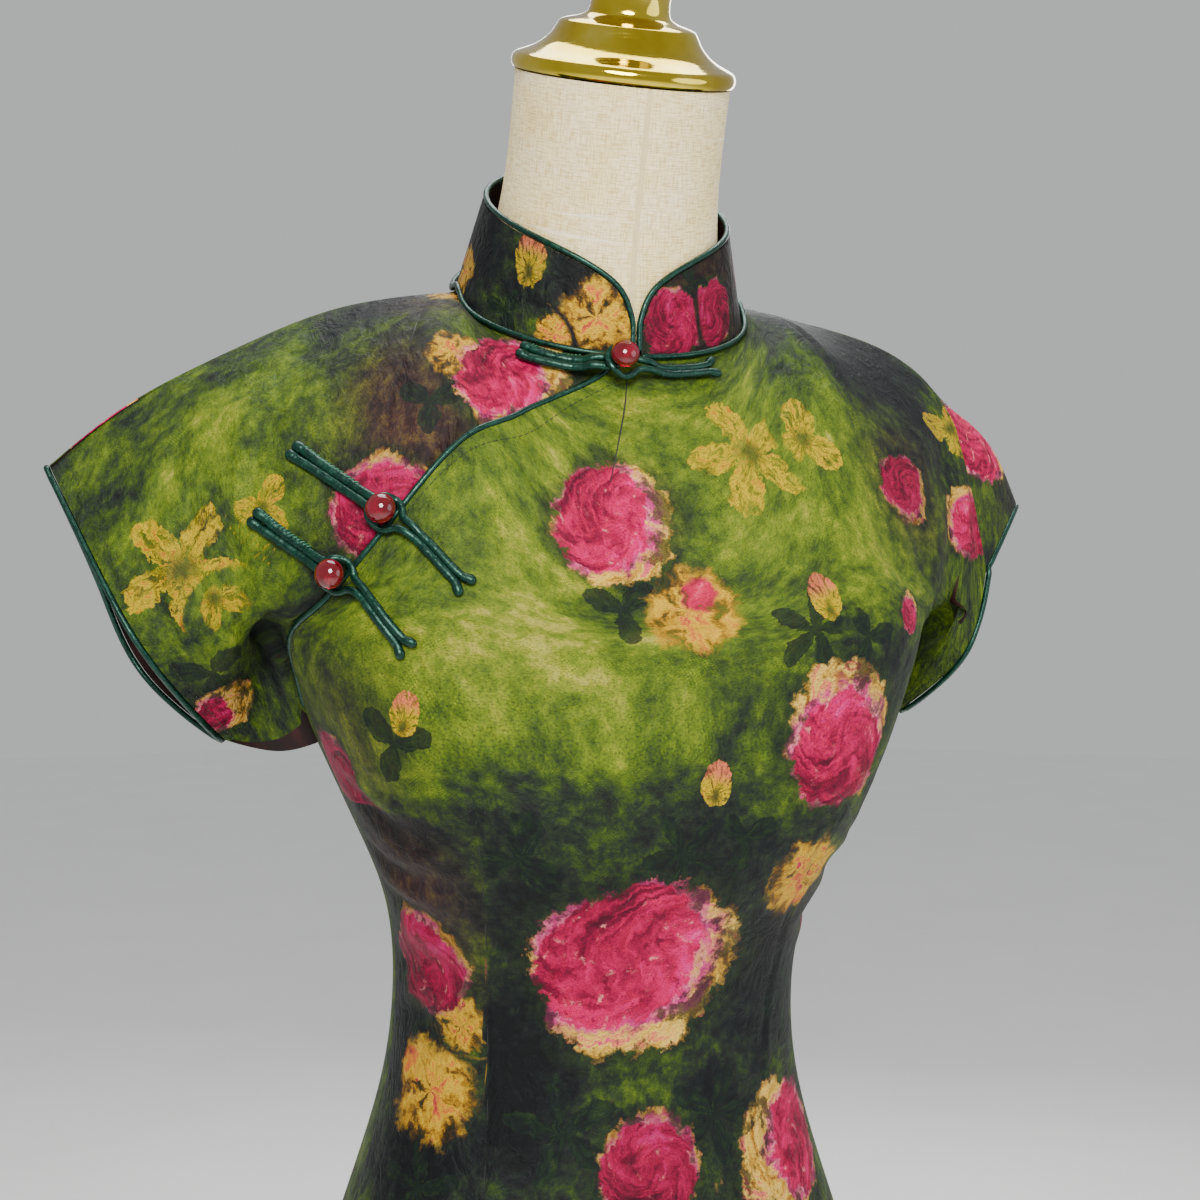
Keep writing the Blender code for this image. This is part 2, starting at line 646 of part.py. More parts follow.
def make_placket_piping():
    down = down_above()[1:-1]
    across = -placket_across(down)
    edge = dress_surface("front", across, down)
    normal = dress_normal("front", across, down)
    beside = unit(np.cross(np.gradient(edge, axis=0), normal))
    path = edge + beside * (PIPING_RADIUS + SEAM_GAP) - normal * 0.0006
    finish_sweep("placket_piping", path, normal, PIPING_RADIUS, 5)


def make_cuff_piping(name, side):
    """A ring of piping round one cuff, from the overarm seam down the front and up the back."""
    down = down_above()
    edges, outs, normals = [], [], []
    for panel in ("front", "back"):
        across = np.full(len(down), side * CUFF)
        edge = dress_surface(panel, across, down)
        edges.append(edge)
        outs.append(unit(edge - dress_surface(panel, across - side * 0.004, down)))
        normals.append(dress_normal(panel, across, down))
    for table in (outs, normals):
        table[0][[0, -1]] = unit(table[0][[0, -1]] + table[1][[0, -1]])
    edge, out, normal = (np.vstack((table[0], table[1][-2:0:-1])) for table in (edges, outs, normals))
    beside = unit(np.cross(np.roll(edge, -1, axis=0) - np.roll(edge, 1, axis=0), normal))
    beside *= np.sign(np.sum(beside * out, axis=1, keepdims=True))
    path = edge + beside * (PIPING_RADIUS + SEAM_GAP + 0.0002) - normal * WALL / 2
    finish_sweep(name, path, normal, PIPING_RADIUS, 5, closed=True)


def finish_sweep(name, path, normals, radius, sides, closed=False):
    make_object(name, *sweep(path, normals, radius, sides, closed), "green_satin")


def frog_frame(button, end, reach, from_end=False):
    """Places on the dress at given distances from the button, or from the wing's end."""
    button, end = np.array(button), np.array(end)
    share = np.linspace(0, 1, 41)[:, None]
    route = button + (end - button) * share
    points = dress_surface("front", route[:, 0], route[:, 1])
    travelled = np.concatenate(((0,), np.cumsum(np.linalg.norm(np.diff(points, axis=0), axis=1))))
    length = travelled[-1]
    reach = length - np.asarray(reach) if from_end else np.asarray(reach)
    share = np.interp(reach, travelled, share[:, 0])
    place = button + (end - button) * share[:, None]
    points = dress_surface("front", place[:, 0], place[:, 1])
    normals = dress_normal("front", place[:, 0], place[:, 1])
    ahead = unit(points[np.argmax(share)] - points[np.argmin(share)])
    side = unit(np.cross(normals, ahead))
    return points, normals, side


def wing_lanes(button, end, lift):
    """Both lanes of a wing, from its spread end in to 0.014 from the button."""
    outer = frog_frame(button, end, (0.0, 0.004, 0.009, 0.018), from_end=True)
    inner = frog_frame(button, end, (0.024, 0.017, 0.014))
    points, normals, side = (np.vstack(pair) for pair in zip(outer, inner))
    lane = np.array((LANE_FLARE, LANE_FLARE * 0.8, LANE * 1.2, LANE, LANE, LANE, LANE))[:, None]
    rest = CORD_REST + (lift - CORD_LIFT) / 3
    height = np.array((rest,) * 5 + ((rest + lift) / 2, lift))[:, None]
    middle = points + normals * height
    return middle + side * lane, middle - side * lane, normals


def wing_axes(one, two, centre, upright):
    """Directions from the button along a wing and towards its first lane."""
    towards = (one + two) / 2 - centre
    towards = unit(towards - (towards @ upright) * upright)
    sideways = np.cross(upright, towards)
    return towards, sideways * np.sign((one - two) @ sideways)


def make_frog(name, button, ball_end, loop_end, lift):
    """A ball button with its two wings of doubled cord."""
    place = np.array(button)[:, None]
    centre = dress_surface("front", *place)[0]
    upright = dress_normal("front", *place)[0]

    one, two, normals = wing_lanes(button, ball_end, lift)
    towards, sideways = wing_axes(one[-1], two[-1], centre, upright)
    turn = np.radians(np.linspace(90, 270, 5))[:, None]
    bend = centre + upright * lift + towards * (0.0045 + LANE * np.cos(turn))
    bend = bend + sideways * LANE * np.sin(turn)
    lined = np.vstack((normals, np.repeat(upright[None], 5, 0), normals[::-1]))
    finish_sweep(name + "_ball_wing", np.vstack((one, bend, two[::-1])), lined, CORD_RADIUS, 6)

    one, two, normals = wing_lanes(button, loop_end, lift)
    towards, sideways = wing_axes(one[-1], two[-1], centre, upright)
    turn = np.radians(np.linspace(42, 318, 15))[:, None]
    over = smooth_step((0.15 - np.cos(turn)) / 0.95)
    ring = centre + upright * (lift + LOOP_RISE * over)
    ring = ring + LOOP_RADIUS * (towards * np.cos(turn) + sideways * np.sin(turn))
    lined = np.vstack((normals, np.repeat(upright[None], 15, 0), normals[::-1]))
    finish_sweep(name + "_loop_wing", np.vstack((one, ring, two[::-1])), lined, CORD_RADIUS, 6)

    tall = BUTTON_RADIUS * BUTTON_FLATNESS
    middle = centre + upright * (lift + CORD_RADIUS + SEAM_GAP + tall)
    turns = np.radians(np.linspace(-90, 90, 8)[1:-1])
    profile = [(0, -tall)] + [(BUTTON_RADIUS * np.cos(t), tall * np.sin(t)) for t in turns] + [(0, tall)]
    make_object(name + "_button", *turned(profile, 12, middle, upright), "red_glass")


def form_columns(down):
    """Columns of the form, which on the shoulders stop short of the sleeves."""
    columns = body_columns()
    share = np.clip((columns - NECK_POINT) / (SHOULDER_END - NECK_POINT), 0, 1)
    short = (SHOULDER_END - ARM_END_TOP) * (1 - smooth_step(down))
    return columns - short * share


def form_surface(panel, across, down):
    """Points of the form, just inside the cloth and further in towards the arm ends and the lap."""
    across, down = np.broadcast_arrays(across, down)
    above = smooth_step((1 - down) / 0.2)
    beside = smooth_step((np.abs(across) - 0.110) / 0.07) * above
    closing = placket_across(down)
    lap = np.abs(across + closing) if panel == "front" else 2 * SHOULDER_END + across - closing
    dent = smooth_step((0.050 - lap) / 0.024) * smooth_step((1.25 - down) / 0.2)
    drop = WALL + FORM_CLEARANCE + 0.0020 * above + 0.005 * beside + LAP_DROP * dent
    normal = smooth_normal(panel, across, down)
    seam = (np.abs(across) > NECK_POINT - 1e-6) & (down < 1e-6)
    seam |= (np.abs(across) > SHOULDER_END - 1e-6) & (down > 1 - 1e-6)
    other = smooth_normal("back" if panel == "front" else "front", across, down)
    normal = np.where(seam[..., None], unit(normal + other), normal)
    return dress_surface(panel, across, down) - drop[..., None] * normal


def neck_ring(angle, share):
    """Points round the form's neck, a given share of the way up it."""
    turn = np.radians(angle)[:, None]
    axis = leaning(NECK_LEAN)
    root = (neckline(angle) - NECK_CENTRE) * 0.92
    forward = np.array((0.0, -axis[2], axis[1]))
    top = NECK_TOP_RADIUS * (np.sin(turn) * np.array((1.0, 0.0, 0.0)) + np.cos(turn) * forward)
    narrowing = 1 - (1 - share) ** 3.4
    return NECK_CENTRE + axis * NECK_LENGTH * share + root * (1 - narrowing) + top * narrowing


def make_form():
    """The linen torso and neck, one closed body with flat arm ends."""
    above, below = down_above()[:, None], down_below(FORM_ROWS_BELOW)[:, None]
    points, faces, count = [], [], 0

    def add(grid):
        nonlocal count
        index = np.arange(grid.size // 3).reshape(grid.shape[:-1]) + count
        points.append(grid.reshape(-1, 3))
        count += grid.size // 3
        return index

    upper, lower = {}, {}
    for panel in ("front", "back"):
        half = form_columns(above)
        upper[panel] = add(form_surface(panel, np.hstack((-half[:, :0:-1], half)), above))
        lower[panel] = add(form_surface(panel, mirrored(form_columns(1.0))[None, :], below))
        for index in (upper[panel], lower[panel]):
            faces += grid_faces(*index.shape, index[0, 0]).tolist()

    middle = upper["front"].shape[1] // 2
    front_top = upper["front"][0, middle - COLUMNS_NECK : middle + COLUMNS_NECK + 1]
    back_top = upper["back"][0, middle + COLUMNS_NECK - 1 : middle - COLUMNS_NECK : -1]
    share = np.arange(-COLUMNS_NECK, COLUMNS_NECK + 1) / COLUMNS_NECK
    behind = share[-2:0:-1]
    angle = np.concatenate((share * SIDE_NECK_ANGLE, 180 - np.abs(behind) * (180 - SIDE_NECK_ANGLE)))
    angle[len(share) :] *= np.where(behind < 0, -1, 1)
    ring = np.concatenate((front_top, back_top))
    for height in (0.14, 0.28, 0.42, 0.60, 0.80, 1.0):
        following = add(neck_ring(angle, height))
        for a, b, c, d in zip(ring, np.roll(ring, -1), np.roll(following, -1), following):
            faces.append([a, b, c, d])
        ring = following
    faces.append(ring.tolist())

    faces.append(np.concatenate((lower["front"][-1], lower["back"][-1][-2:0:-1])).tolist())
    for edge in (0, -1):
        loop = np.concatenate((upper["front"][:, edge], upper["back"][-2:0:-1, edge]))
        heart = add(np.vstack(points)[loop].mean(axis=0)[None])[0]
        for a, b in zip(loop, np.roll(loop, -1)):
            faces.append([a, b, heart])
    points, faces, _ = merge_points(np.vstack(points), faces)
    make_object("form", points, faces, "linen")


def make_stand():
    """The neck's gold cap, and the pole and round base that carry the form."""
    axis = leaning(NECK_LEAN)
    make_object(
        "neck_cap", *turned(CAP_PROFILE, 24, NECK_CENTRE + axis * NECK_LENGTH, axis), "polished_gold"
    )
    bottom = ARMPIT_HEIGHT - (ARMPIT_HEIGHT - HEM_HEIGHT) * FORM_ROWS_BELOW / ROWS_BELOW
    centre, upward = np.array((0.0, BODY_RINGS[0][4], 0.0)), (0.0, 0.0, 1.0)
    foot = BASE_BOSS_HEIGHT + SEAM_GAP
    pole = ((0, foot), (POLE_RADIUS, foot), (POLE_RADIUS, bottom - SEAM_GAP), (0, bottom - SEAM_GAP))
    make_object("pole", *turned(pole, 24, centre, upward), "polished_gold")
    base = (
        (0, 0), (BASE_RADIUS - 0.002, 0), (BASE_RADIUS, 0.002), (BASE_RADIUS, BASE_THICKNESS - 0.004),
        (BASE_RADIUS - 0.004, BASE_THICKNESS), (BASE_BOSS_RADIUS, BASE_THICKNESS + 0.003),
        (BASE_BOSS_RADIUS - 0.004, BASE_BOSS_HEIGHT - 0.003), (BASE_BOSS_RADIUS - 0.008, BASE_BOSS_HEIGHT),
        (0, BASE_BOSS_HEIGHT),
    )
    make_object("base", *turned(base, 48, centre, upward), "polished_gold")


def clear_scene():
    for obj in list(bpy.data.objects):
        bpy.data.objects.remove(obj)


def centre_origin():
    """Moves the whole so that the origin is the middle of its box from above."""
    corners = np.array([corner for obj in bpy.data.objects for corner in obj.bound_box])
    middle = (corners.min(axis=0) + corners.max(axis=0)) / 2
    for obj in bpy.data.objects:
        obj.data.transform(Matrix.Translation((-middle[0], -middle[1], 0)))


def make_materials():
    for name, (colour, roughness, metallic) in MATERIALS.items():
        material = bpy.data.materials.new(name)
        material.use_nodes = True
        shader = material.node_tree.nodes["Principled BSDF"]
        shader.inputs["Base Color"].default_value = (*colour, 1.0)
        shader.inputs["Roughness"].default_value = roughness
        shader.inputs["Metallic"].default_value = metallic


def main():
    clear_scene()
    make_materials()
    make_form()
    make_stand()
    make_front()
    make_right_front()
    make_back()
    make_collar()
    make_collar_piping()
    make_neckline_piping()
    make_placket_piping()
    make_cuff_piping("right_cuff_piping", -1)
    make_cuff_piping("left_cuff_piping", 1)
    for name, *places in FROGS:
        make_frog(name + "_frog", *places)
    centre_origin()


main()
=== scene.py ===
"""Looks of a short-sleeved cheongsam on its dress form.

Metres, +Z up, the front of the dress faces -Y and the wearer's right is -X. The cloth is one smooth
surface, read at (across, down): across runs from the centre line (0) over the side neck point, the
shoulder end and the sleeve to the cuff, and down runs from the neckline and the overarm seam (0)
over the armpit line (1) to the hem (2). Every shell, trim, crease and flower has its place on it.
"""

import bpy
import numpy as np
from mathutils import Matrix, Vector


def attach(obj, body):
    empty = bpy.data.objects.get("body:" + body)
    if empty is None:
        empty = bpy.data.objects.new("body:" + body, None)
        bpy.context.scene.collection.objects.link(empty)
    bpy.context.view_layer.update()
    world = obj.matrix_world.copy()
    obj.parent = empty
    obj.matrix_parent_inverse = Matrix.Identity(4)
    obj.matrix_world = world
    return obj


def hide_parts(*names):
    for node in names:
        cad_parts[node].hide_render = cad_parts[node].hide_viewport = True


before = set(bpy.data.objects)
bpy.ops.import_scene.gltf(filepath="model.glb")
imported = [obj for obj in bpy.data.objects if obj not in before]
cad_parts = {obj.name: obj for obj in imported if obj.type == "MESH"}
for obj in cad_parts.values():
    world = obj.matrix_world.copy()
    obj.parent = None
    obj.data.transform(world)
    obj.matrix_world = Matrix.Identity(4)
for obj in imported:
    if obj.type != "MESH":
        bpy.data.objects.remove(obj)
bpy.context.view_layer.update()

# ---------------------------------------------------------------- camera

CAMERA_AIM = Vector((0.01464, 0.0, 1.171))
CAMERA_AZIMUTH, CAMERA_ELEVATION, CAMERA_DISTANCE = 16.0, 1.5, 0.81    # degrees, degrees, metres
CAMERA_LENS = 45.6     # mm on a 36 mm sensor


def make_camera():
    """The camera, level with the chest and turned to the dress's right front."""
    turn, rise = np.radians(CAMERA_AZIMUTH), np.radians(CAMERA_ELEVATION)
    ahead = Vector((np.sin(turn) * np.cos(rise), np.cos(turn) * np.cos(rise), -np.sin(rise)))
    data = bpy.data.cameras.new("camera")
    data.sensor_width, data.lens = 36.0, CAMERA_LENS
    data.clip_start, data.clip_end = 0.02, 50.0
    camera = bpy.data.objects.new("camera", data)
    bpy.context.scene.collection.objects.link(camera)
    camera.location = CAMERA_AIM - ahead * CAMERA_DISTANCE
    camera.rotation_euler = ahead.to_track_quat("-Z", "Y").to_euler()
    bpy.context.scene.camera = camera


make_camera()

# ---------------------------------------------------------------- sizes and tables of the dress

SHIFT = np.array((0.011637, 0.0, 0.0))    # from the dress's centre line to the model's origin
WALL = 0.0018          # cloth of the solid model
CLOTH = 0.0011         # the shell that shows
SEAM_GAP = 0.0003
LAP_DROP, LAP_WIDTH, LAP_START = 0.0045, 0.018, 0.014
PIPING_RADIUS = 0.0015
CORD_RADIUS = 0.0020
BUTTON_RADIUS = 0.0068
COLLAR_HEIGHT, COLLAR_FRONT_HEIGHT = 0.049, 0.024
HEM_HEIGHT, SLIT_TOP, SLIT_PARTING, ARMPIT_HEIGHT = 0.40, 0.58, 0.004, 1.10
FORM_CLEARANCE = 0.0006
BASE_RADIUS, BASE_THICKNESS = 0.175, 0.012
BASE_BOSS_RADIUS, BASE_BOSS_HEIGHT = 0.028, 0.030
POLE_RADIUS = 0.0125
FORM_BOTTOM = 0.68

NECK_MID, NECK_POINT, SHOULDER_MID = 0.040, 0.0755, 0.130
SHOULDER_END, SLEEVE_MID, CUFF = 0.190, 0.235, 0.280
NECK_HALF_WIDTH, NECK_HALF_DEPTH, NECK_HALF_DROP = 0.0755, 0.065, 0.036
NECK_CENTRE = np.array((0.0, -0.009, 1.326))
SIDE_NECK_ANGLE = 98.0
NECK_LEAN, COLLAR_LEAN, COLLAR_TAPER = 22.0, 18.0, 14.0
NECK_LENGTH, NECK_TOP_RADIUS = 0.113, 0.0535

# Rings of the body: height, half width, front depth, back depth, middle, front and back fullness
BODY_RINGS = (
    (1.1, 0.146, 0.129, 0.098, 0, 0.11, 0.05), (1.06, 0.128, 0.125, 0.094, 0, 0.1, 0.05),
    (1.02, 0.112, 0.108, 0.088, 0.002, 0.07, 0.05), (0.965, 0.107, 0.087, 0.084, 0.004, 0.04, 0.04),
    (0.92, 0.112, 0.084, 0.099, 0.006, 0.03, 0.04), (0.86, 0.129, 0.092, 0.118, 0.008, 0.03, 0.04),
    (0.78, 0.153, 0.101, 0.126, 0.008, 0.04, 0.05), (0.68, 0.162, 0.105, 0.12, 0.008, 0.04, 0.05),
    (0.55, 0.163, 0.106, 0.112, 0.006, 0.04, 0.04), (0.4, 0.166, 0.11, 0.11, 0.005, 0.03, 0.03),
)
# Sections over the shoulder: across, then points on the seam, a third and two thirds of the way down
FRONT_SECTIONS = (
    (0.0, None, (0.000, -0.097, 1.235), (0.000, -0.118, 1.165)),
    (NECK_MID, None, (0.045, -0.092, 1.247), (0.050, -0.120, 1.172)),
    (NECK_POINT, None, (0.081, -0.068, 1.287), (0.090, -0.112, 1.192)),
    (SHOULDER_MID, (0.130, 0.002, 1.322), (0.135, -0.058, 1.270), (0.136, -0.092, 1.182)),
)
BACK_SECTIONS = (
    (0.0, None, (0.000, 0.085, 1.290), (0.000, 0.098, 1.200)),
    (NECK_MID, None, (0.047, 0.082, 1.288), (0.050, 0.097, 1.200)),
    (NECK_POINT, None, (0.085, 0.066, 1.286), (0.090, 0.090, 1.195)),
    (SHOULDER_MID, (0.130, 0.002, 1.322), (0.138, 0.052, 1.270), (0.135, 0.074, 1.182)),
)
# Sections of each sleeve, with the underarm point last; side -1 is the wearer's right
SLEEVE_SECTIONS = {
    -1: (
        (SHOULDER_END, (0.188, 0.002, 1.297), (0.192, -0.046, 1.241), (0.176, -0.054, 1.160),
         (0.195, 0.044, 1.241), (0.179, 0.050, 1.160), None),
        (SLEEVE_MID, (0.235, 0.000, 1.270), (0.220, -0.040, 1.212), (0.194, -0.044, 1.146),
         (0.224, 0.038, 1.210), (0.198, 0.042, 1.144), (0.166, 0.002, 1.096)),
        (CUFF, (0.273, -0.003, 1.238), (0.247, -0.032, 1.184), (0.220, -0.038, 1.138),
         (0.250, 0.030, 1.180), (0.226, 0.036, 1.130), (0.191, 0.000, 1.102)),
    ),
    1: (
        (SHOULDER_END, (0.182, -0.010, 1.299), (0.189, -0.048, 1.240), (0.182, -0.054, 1.165),
         (0.196, 0.038, 1.258), (0.181, 0.050, 1.166), None),
        (SLEEVE_MID, (0.196, -0.036, 1.256), (0.196, -0.050, 1.208), (0.182, -0.046, 1.150),
         (0.228, 0.004, 1.252), (0.206, 0.040, 1.160), (0.164, 0.002, 1.098)),
        (CUFF, (0.206, -0.048, 1.188), (0.200, -0.048, 1.158), (0.188, -0.036, 1.130),
         (0.245, -0.012, 1.224), (0.234, 0.030, 1.164), (0.180, 0.004, 1.106)),
    ),
}
PLACKET = (
    (0, 0.004), (0.09, 0.013), (0.19, 0.031), (0.31, 0.049), (0.41, 0.064), (0.47, 0.078), (0.52, 0.094),
    (0.56, 0.111), (0.6, 0.128), (0.66, 0.143), (0.76, 0.151), (0.88, 0.163), (1, 0.19),
)
# Large folds: panel, across and down at each end, half width, depth
FOLDS = (
    ("front", -0.205, 0.42, -0.188, 0.92, 0.018, 0.0065),
    ("front", -0.172, 0.55, -0.18, 0.96, 0.014, 0.004), ("front", -0.236, 0.8, -0.2, 0.97, 0.014, 0.0035),
    ("front", 0.188, 0.22, 0.184, 0.8, 0.018, 0.0075), ("front", 0.215, 0.45, 0.198, 0.92, 0.014, 0.004),
    ("back", -0.198, 0.4, -0.186, 0.92, 0.018, 0.0065), ("back", 0.198, 0.4, 0.186, 0.92, 0.018, 0.0065),
    ("back", -0.15, 1.08, -0.05, 1.2, 0.02, 0.003), ("back", 0.15, 1.08, 0.05, 1.2, 0.02, 0.003),
)
# The front's waist dart, as a route of (across, down)
DART = ((0.076, 1.035), (0.081, 1.075), (0.087, 1.155), (0.085, 1.205), (0.076, 1.33))
# Creases, darts and seams that only the shell has: piece, route of (across, down), half width, depth
CREASES = (
    ("front", ((-0.004, 0.075), (-0.006, 0.154), (-0.013, 0.292), (-0.018, 0.365)), 0.0022, 0.0013),
    ("front", ((-0.118, 1.065), (-0.076, 1.028)), 0.0024, 0.001),
    ("front", ((0.118, 1.065), (0.076, 1.028)), 0.0024, 0.001),
    ("front", tuple((-across, down) for across, down in DART), 0.0022, 0.0013),
    ("front", DART, 0.0022, 0.0013),
    ("right_front", ((-0.086, 0), (-0.096, 0.208), (-0.106, 0.329), (-0.113, 0.371),
     (-0.116, 0.4)), 0.0026, 0.0012),
    ("front", ((0.09, 0), (0.099, 0.2), (0.107, 0.33), (0.112, 0.42)), 0.0026, 0.0012),
    ("right_front", ((-0.187, 0.429), (-0.184, 0.417), (-0.178, 0.404), (-0.171, 0.412),
     (-0.163, 0.446)), 0.005, 0.0022),
    ("right_front", ((-0.174, 0.542), (-0.181, 0.608), (-0.195, 0.896), (-0.149, 0.933)), 0.006, 0.0018),
    ("right_front", ((-0.16, 0.637), (-0.15, 0.76), (-0.134, 0.908)), 0.006, 0.0014),
    ("right_front", ((-0.245, 0.867), (-0.231, 0.967)), 0.005, 0.0012),
    ("right_front", ((-0.215, 0.3), (-0.232, 0.48), (-0.236, 0.64)), 0.0085, 0.0022),
    ("right_front", ((-0.15, 0.18), (-0.166, 0.3), (-0.172, 0.38)), 0.0075, 0.0018),
    ("right_front", ((-0.255, 0.38), (-0.262, 0.6)), 0.006, 0.0014),
    ("front", ((0.191, 0.246), (0.177, 0.338), (0.16, 0.425), (0.147, 0.537),
     (0.156, 0.692)), 0.007, 0.0018),
    ("front", ((0.172, 0.56), (0.166, 0.7), (0.172, 0.86)), 0.006, 0.0016),
    ("front", ((0.225, 0.52), (0.214, 0.7), (0.205, 0.88)), 0.006, 0.0014),
    ("front", ((-0.15, 1.02), (-0.115, 1.05), (-0.098, 1.052)), 0.0055, 0.0026),
    ("front", ((-0.165, 1.07), (-0.13, 1.084), (-0.1, 1.08)), 0.005, 0.003),
    ("front", ((-0.168, 1.105), (-0.128, 1.112), (-0.104, 1.122)), 0.0055, 0.0026),
    ("front", ((-0.17, 1.16), (-0.14, 1.148), (-0.112, 1.15)), 0.006, 0.0022),
    ("front", ((0.155, 1.03), (0.12, 1.046)), 0.005, 0.0013),
    ("front", ((0.168, 1.078), (0.13, 1.09), (0.104, 1.084)), 0.0052, 0.0025),
    ("front", ((0.17, 1.13), (0.136, 1.124), (0.11, 1.132)), 0.0058, 0.002),
    ("front", ((-0.172, 1.205), (-0.14, 1.19), (-0.104, 1.198)), 0.006, 0.0018),
    ("front", ((-0.112, 0.93), (-0.092, 0.99), (-0.06, 1.01)), 0.008, 0.0014),
    ("front", ((0.112, 0.92), (0.094, 0.98), (0.064, 1)), 0.008, 0.0014),
    ("front", ((-0.04, 0.84), (-0.016, 0.9), (0.018, 0.93)), 0.009, 0.0014),
    ("right_front", ((-0.13, 0.06), (-0.146, 0.15), (-0.19, 0.23)), 0.0075, 0.0017),
    ("right_front", ((-0.205, 0.12), (-0.22, 0.26), (-0.256, 0.33)), 0.0072, 0.0015),
    ("front", ((0.03, 0.76), (0.046, 0.86), (0.052, 0.93)), 0.008, 0.0012),
    ("front", ((-0.06, 1.42), (-0.04, 1.56), (-0.044, 1.72)), 0.014, 0.0016),
    ("front", ((0.07, 1.36), (0.062, 1.52), (0.08, 1.7)), 0.015, 0.0018),
    ("front", ((0.125, 1.28), (0.09, 1.262), (0.05, 1.268)), 0.008, 0.001),
    ("front", ((-0.13, 1.29), (-0.095, 1.268), (-0.06, 1.276)), 0.008, 0.001),
    ("back", ((0, 0.06), (0, 0.9)), 0.0022, 0.001), ("back", ((0, 1), (0, 1.99)), 0.0022, 0.001),
    ("back", ((-0.068, 0.96), (-0.074, 1.06), (-0.08, 1.16), (-0.074, 1.3)), 0.0022, 0.0013),
    ("back", ((0.068, 0.96), (0.074, 1.06), (0.08, 1.16), (0.074, 1.3)), 0.0022, 0.0013),
    ("back", ((-0.082, 0), (-0.088, 0.14), (-0.092, 0.25)), 0.0024, 0.0011),
    ("back", ((0.082, 0), (0.088, 0.14), (0.092, 0.25)), 0.0024, 0.0011),
    ("back", ((-0.165, 0.56), (-0.178, 0.7), (-0.184, 0.88)), 0.006, 0.0018),
    ("back", ((0.16, 0.52), (0.176, 0.68), (0.182, 0.86)), 0.006, 0.0018),
    ("back", ((-0.135, 1.13), (-0.085, 1.148), (-0.03, 1.14)), 0.008, 0.0016),
    ("back", ((0.14, 1.19), (0.08, 1.196), (0.028, 1.18)), 0.008, 0.0016),
    ("back", ((0.12, 1.096), (0.07, 1.112), (0.02, 1.106)), 0.007, 0.0012),
    ("back", ((0.08, 1.45), (0.07, 1.6), (0.086, 1.76)), 0.015, 0.0018),
    ("back", ((-0.096, 1.4), (-0.08, 1.58), (-0.09, 1.72)), 0.014, 0.0016),
)
LANE = 0.0021          # half the distance between a wing's cords at the button
CORD_REST, CORD_LIFT, LOOP_RISE, BUTTON_FLATNESS = 0.0024, 0.0036, 0.0040, 0.86
FROGS = (
    ("collar", (-0.006, 0.054), (-0.038, 0.078), (0.027, 0.074), 0.0067),
    ("upper", (-0.119, 0.560), (-0.157, 0.385), (-0.073, 0.730), CORD_LIFT),
    ("lower", (-0.141, 0.625), (-0.180, 0.455), (-0.087, 0.880), CORD_LIFT),
)
CAP_PROFILE = (
    (0, 0.0003), (0.054, 0.0003), (0.0555, 0.002), (0.0558, 0.0048), (0.0545, 0.0076), (0.0508, 0.0092),
    (0.044, 0.012), (0.0378, 0.0172), (0.0345, 0.023), (0.0328, 0.0254), (0.0216, 0.028), (0.0192, 0.0318),
    (0.0196, 0.043), (0.0224, 0.0508), (0.0192, 0.0585), (0.0112, 0.0638), (0, 0.0656),
)
ARM_END_TOP = 0.160

# Fineness of the shells
COLUMNS_BODY, COLUMNS_SLEEVE, ROWS_ABOVE, ROWS_WAIST, ROWS_SKIRT = 58, 28, 92, 90, 70
WAIST_END = 1.38       # down to where the rows of the body stay close together
ABOVE_LENGTH, BELOW_LENGTH = 0.24, ARMPIT_HEIGHT - HEM_HEIGHT    # metres down for one step of down

# ---------------------------------------------------------------- the print

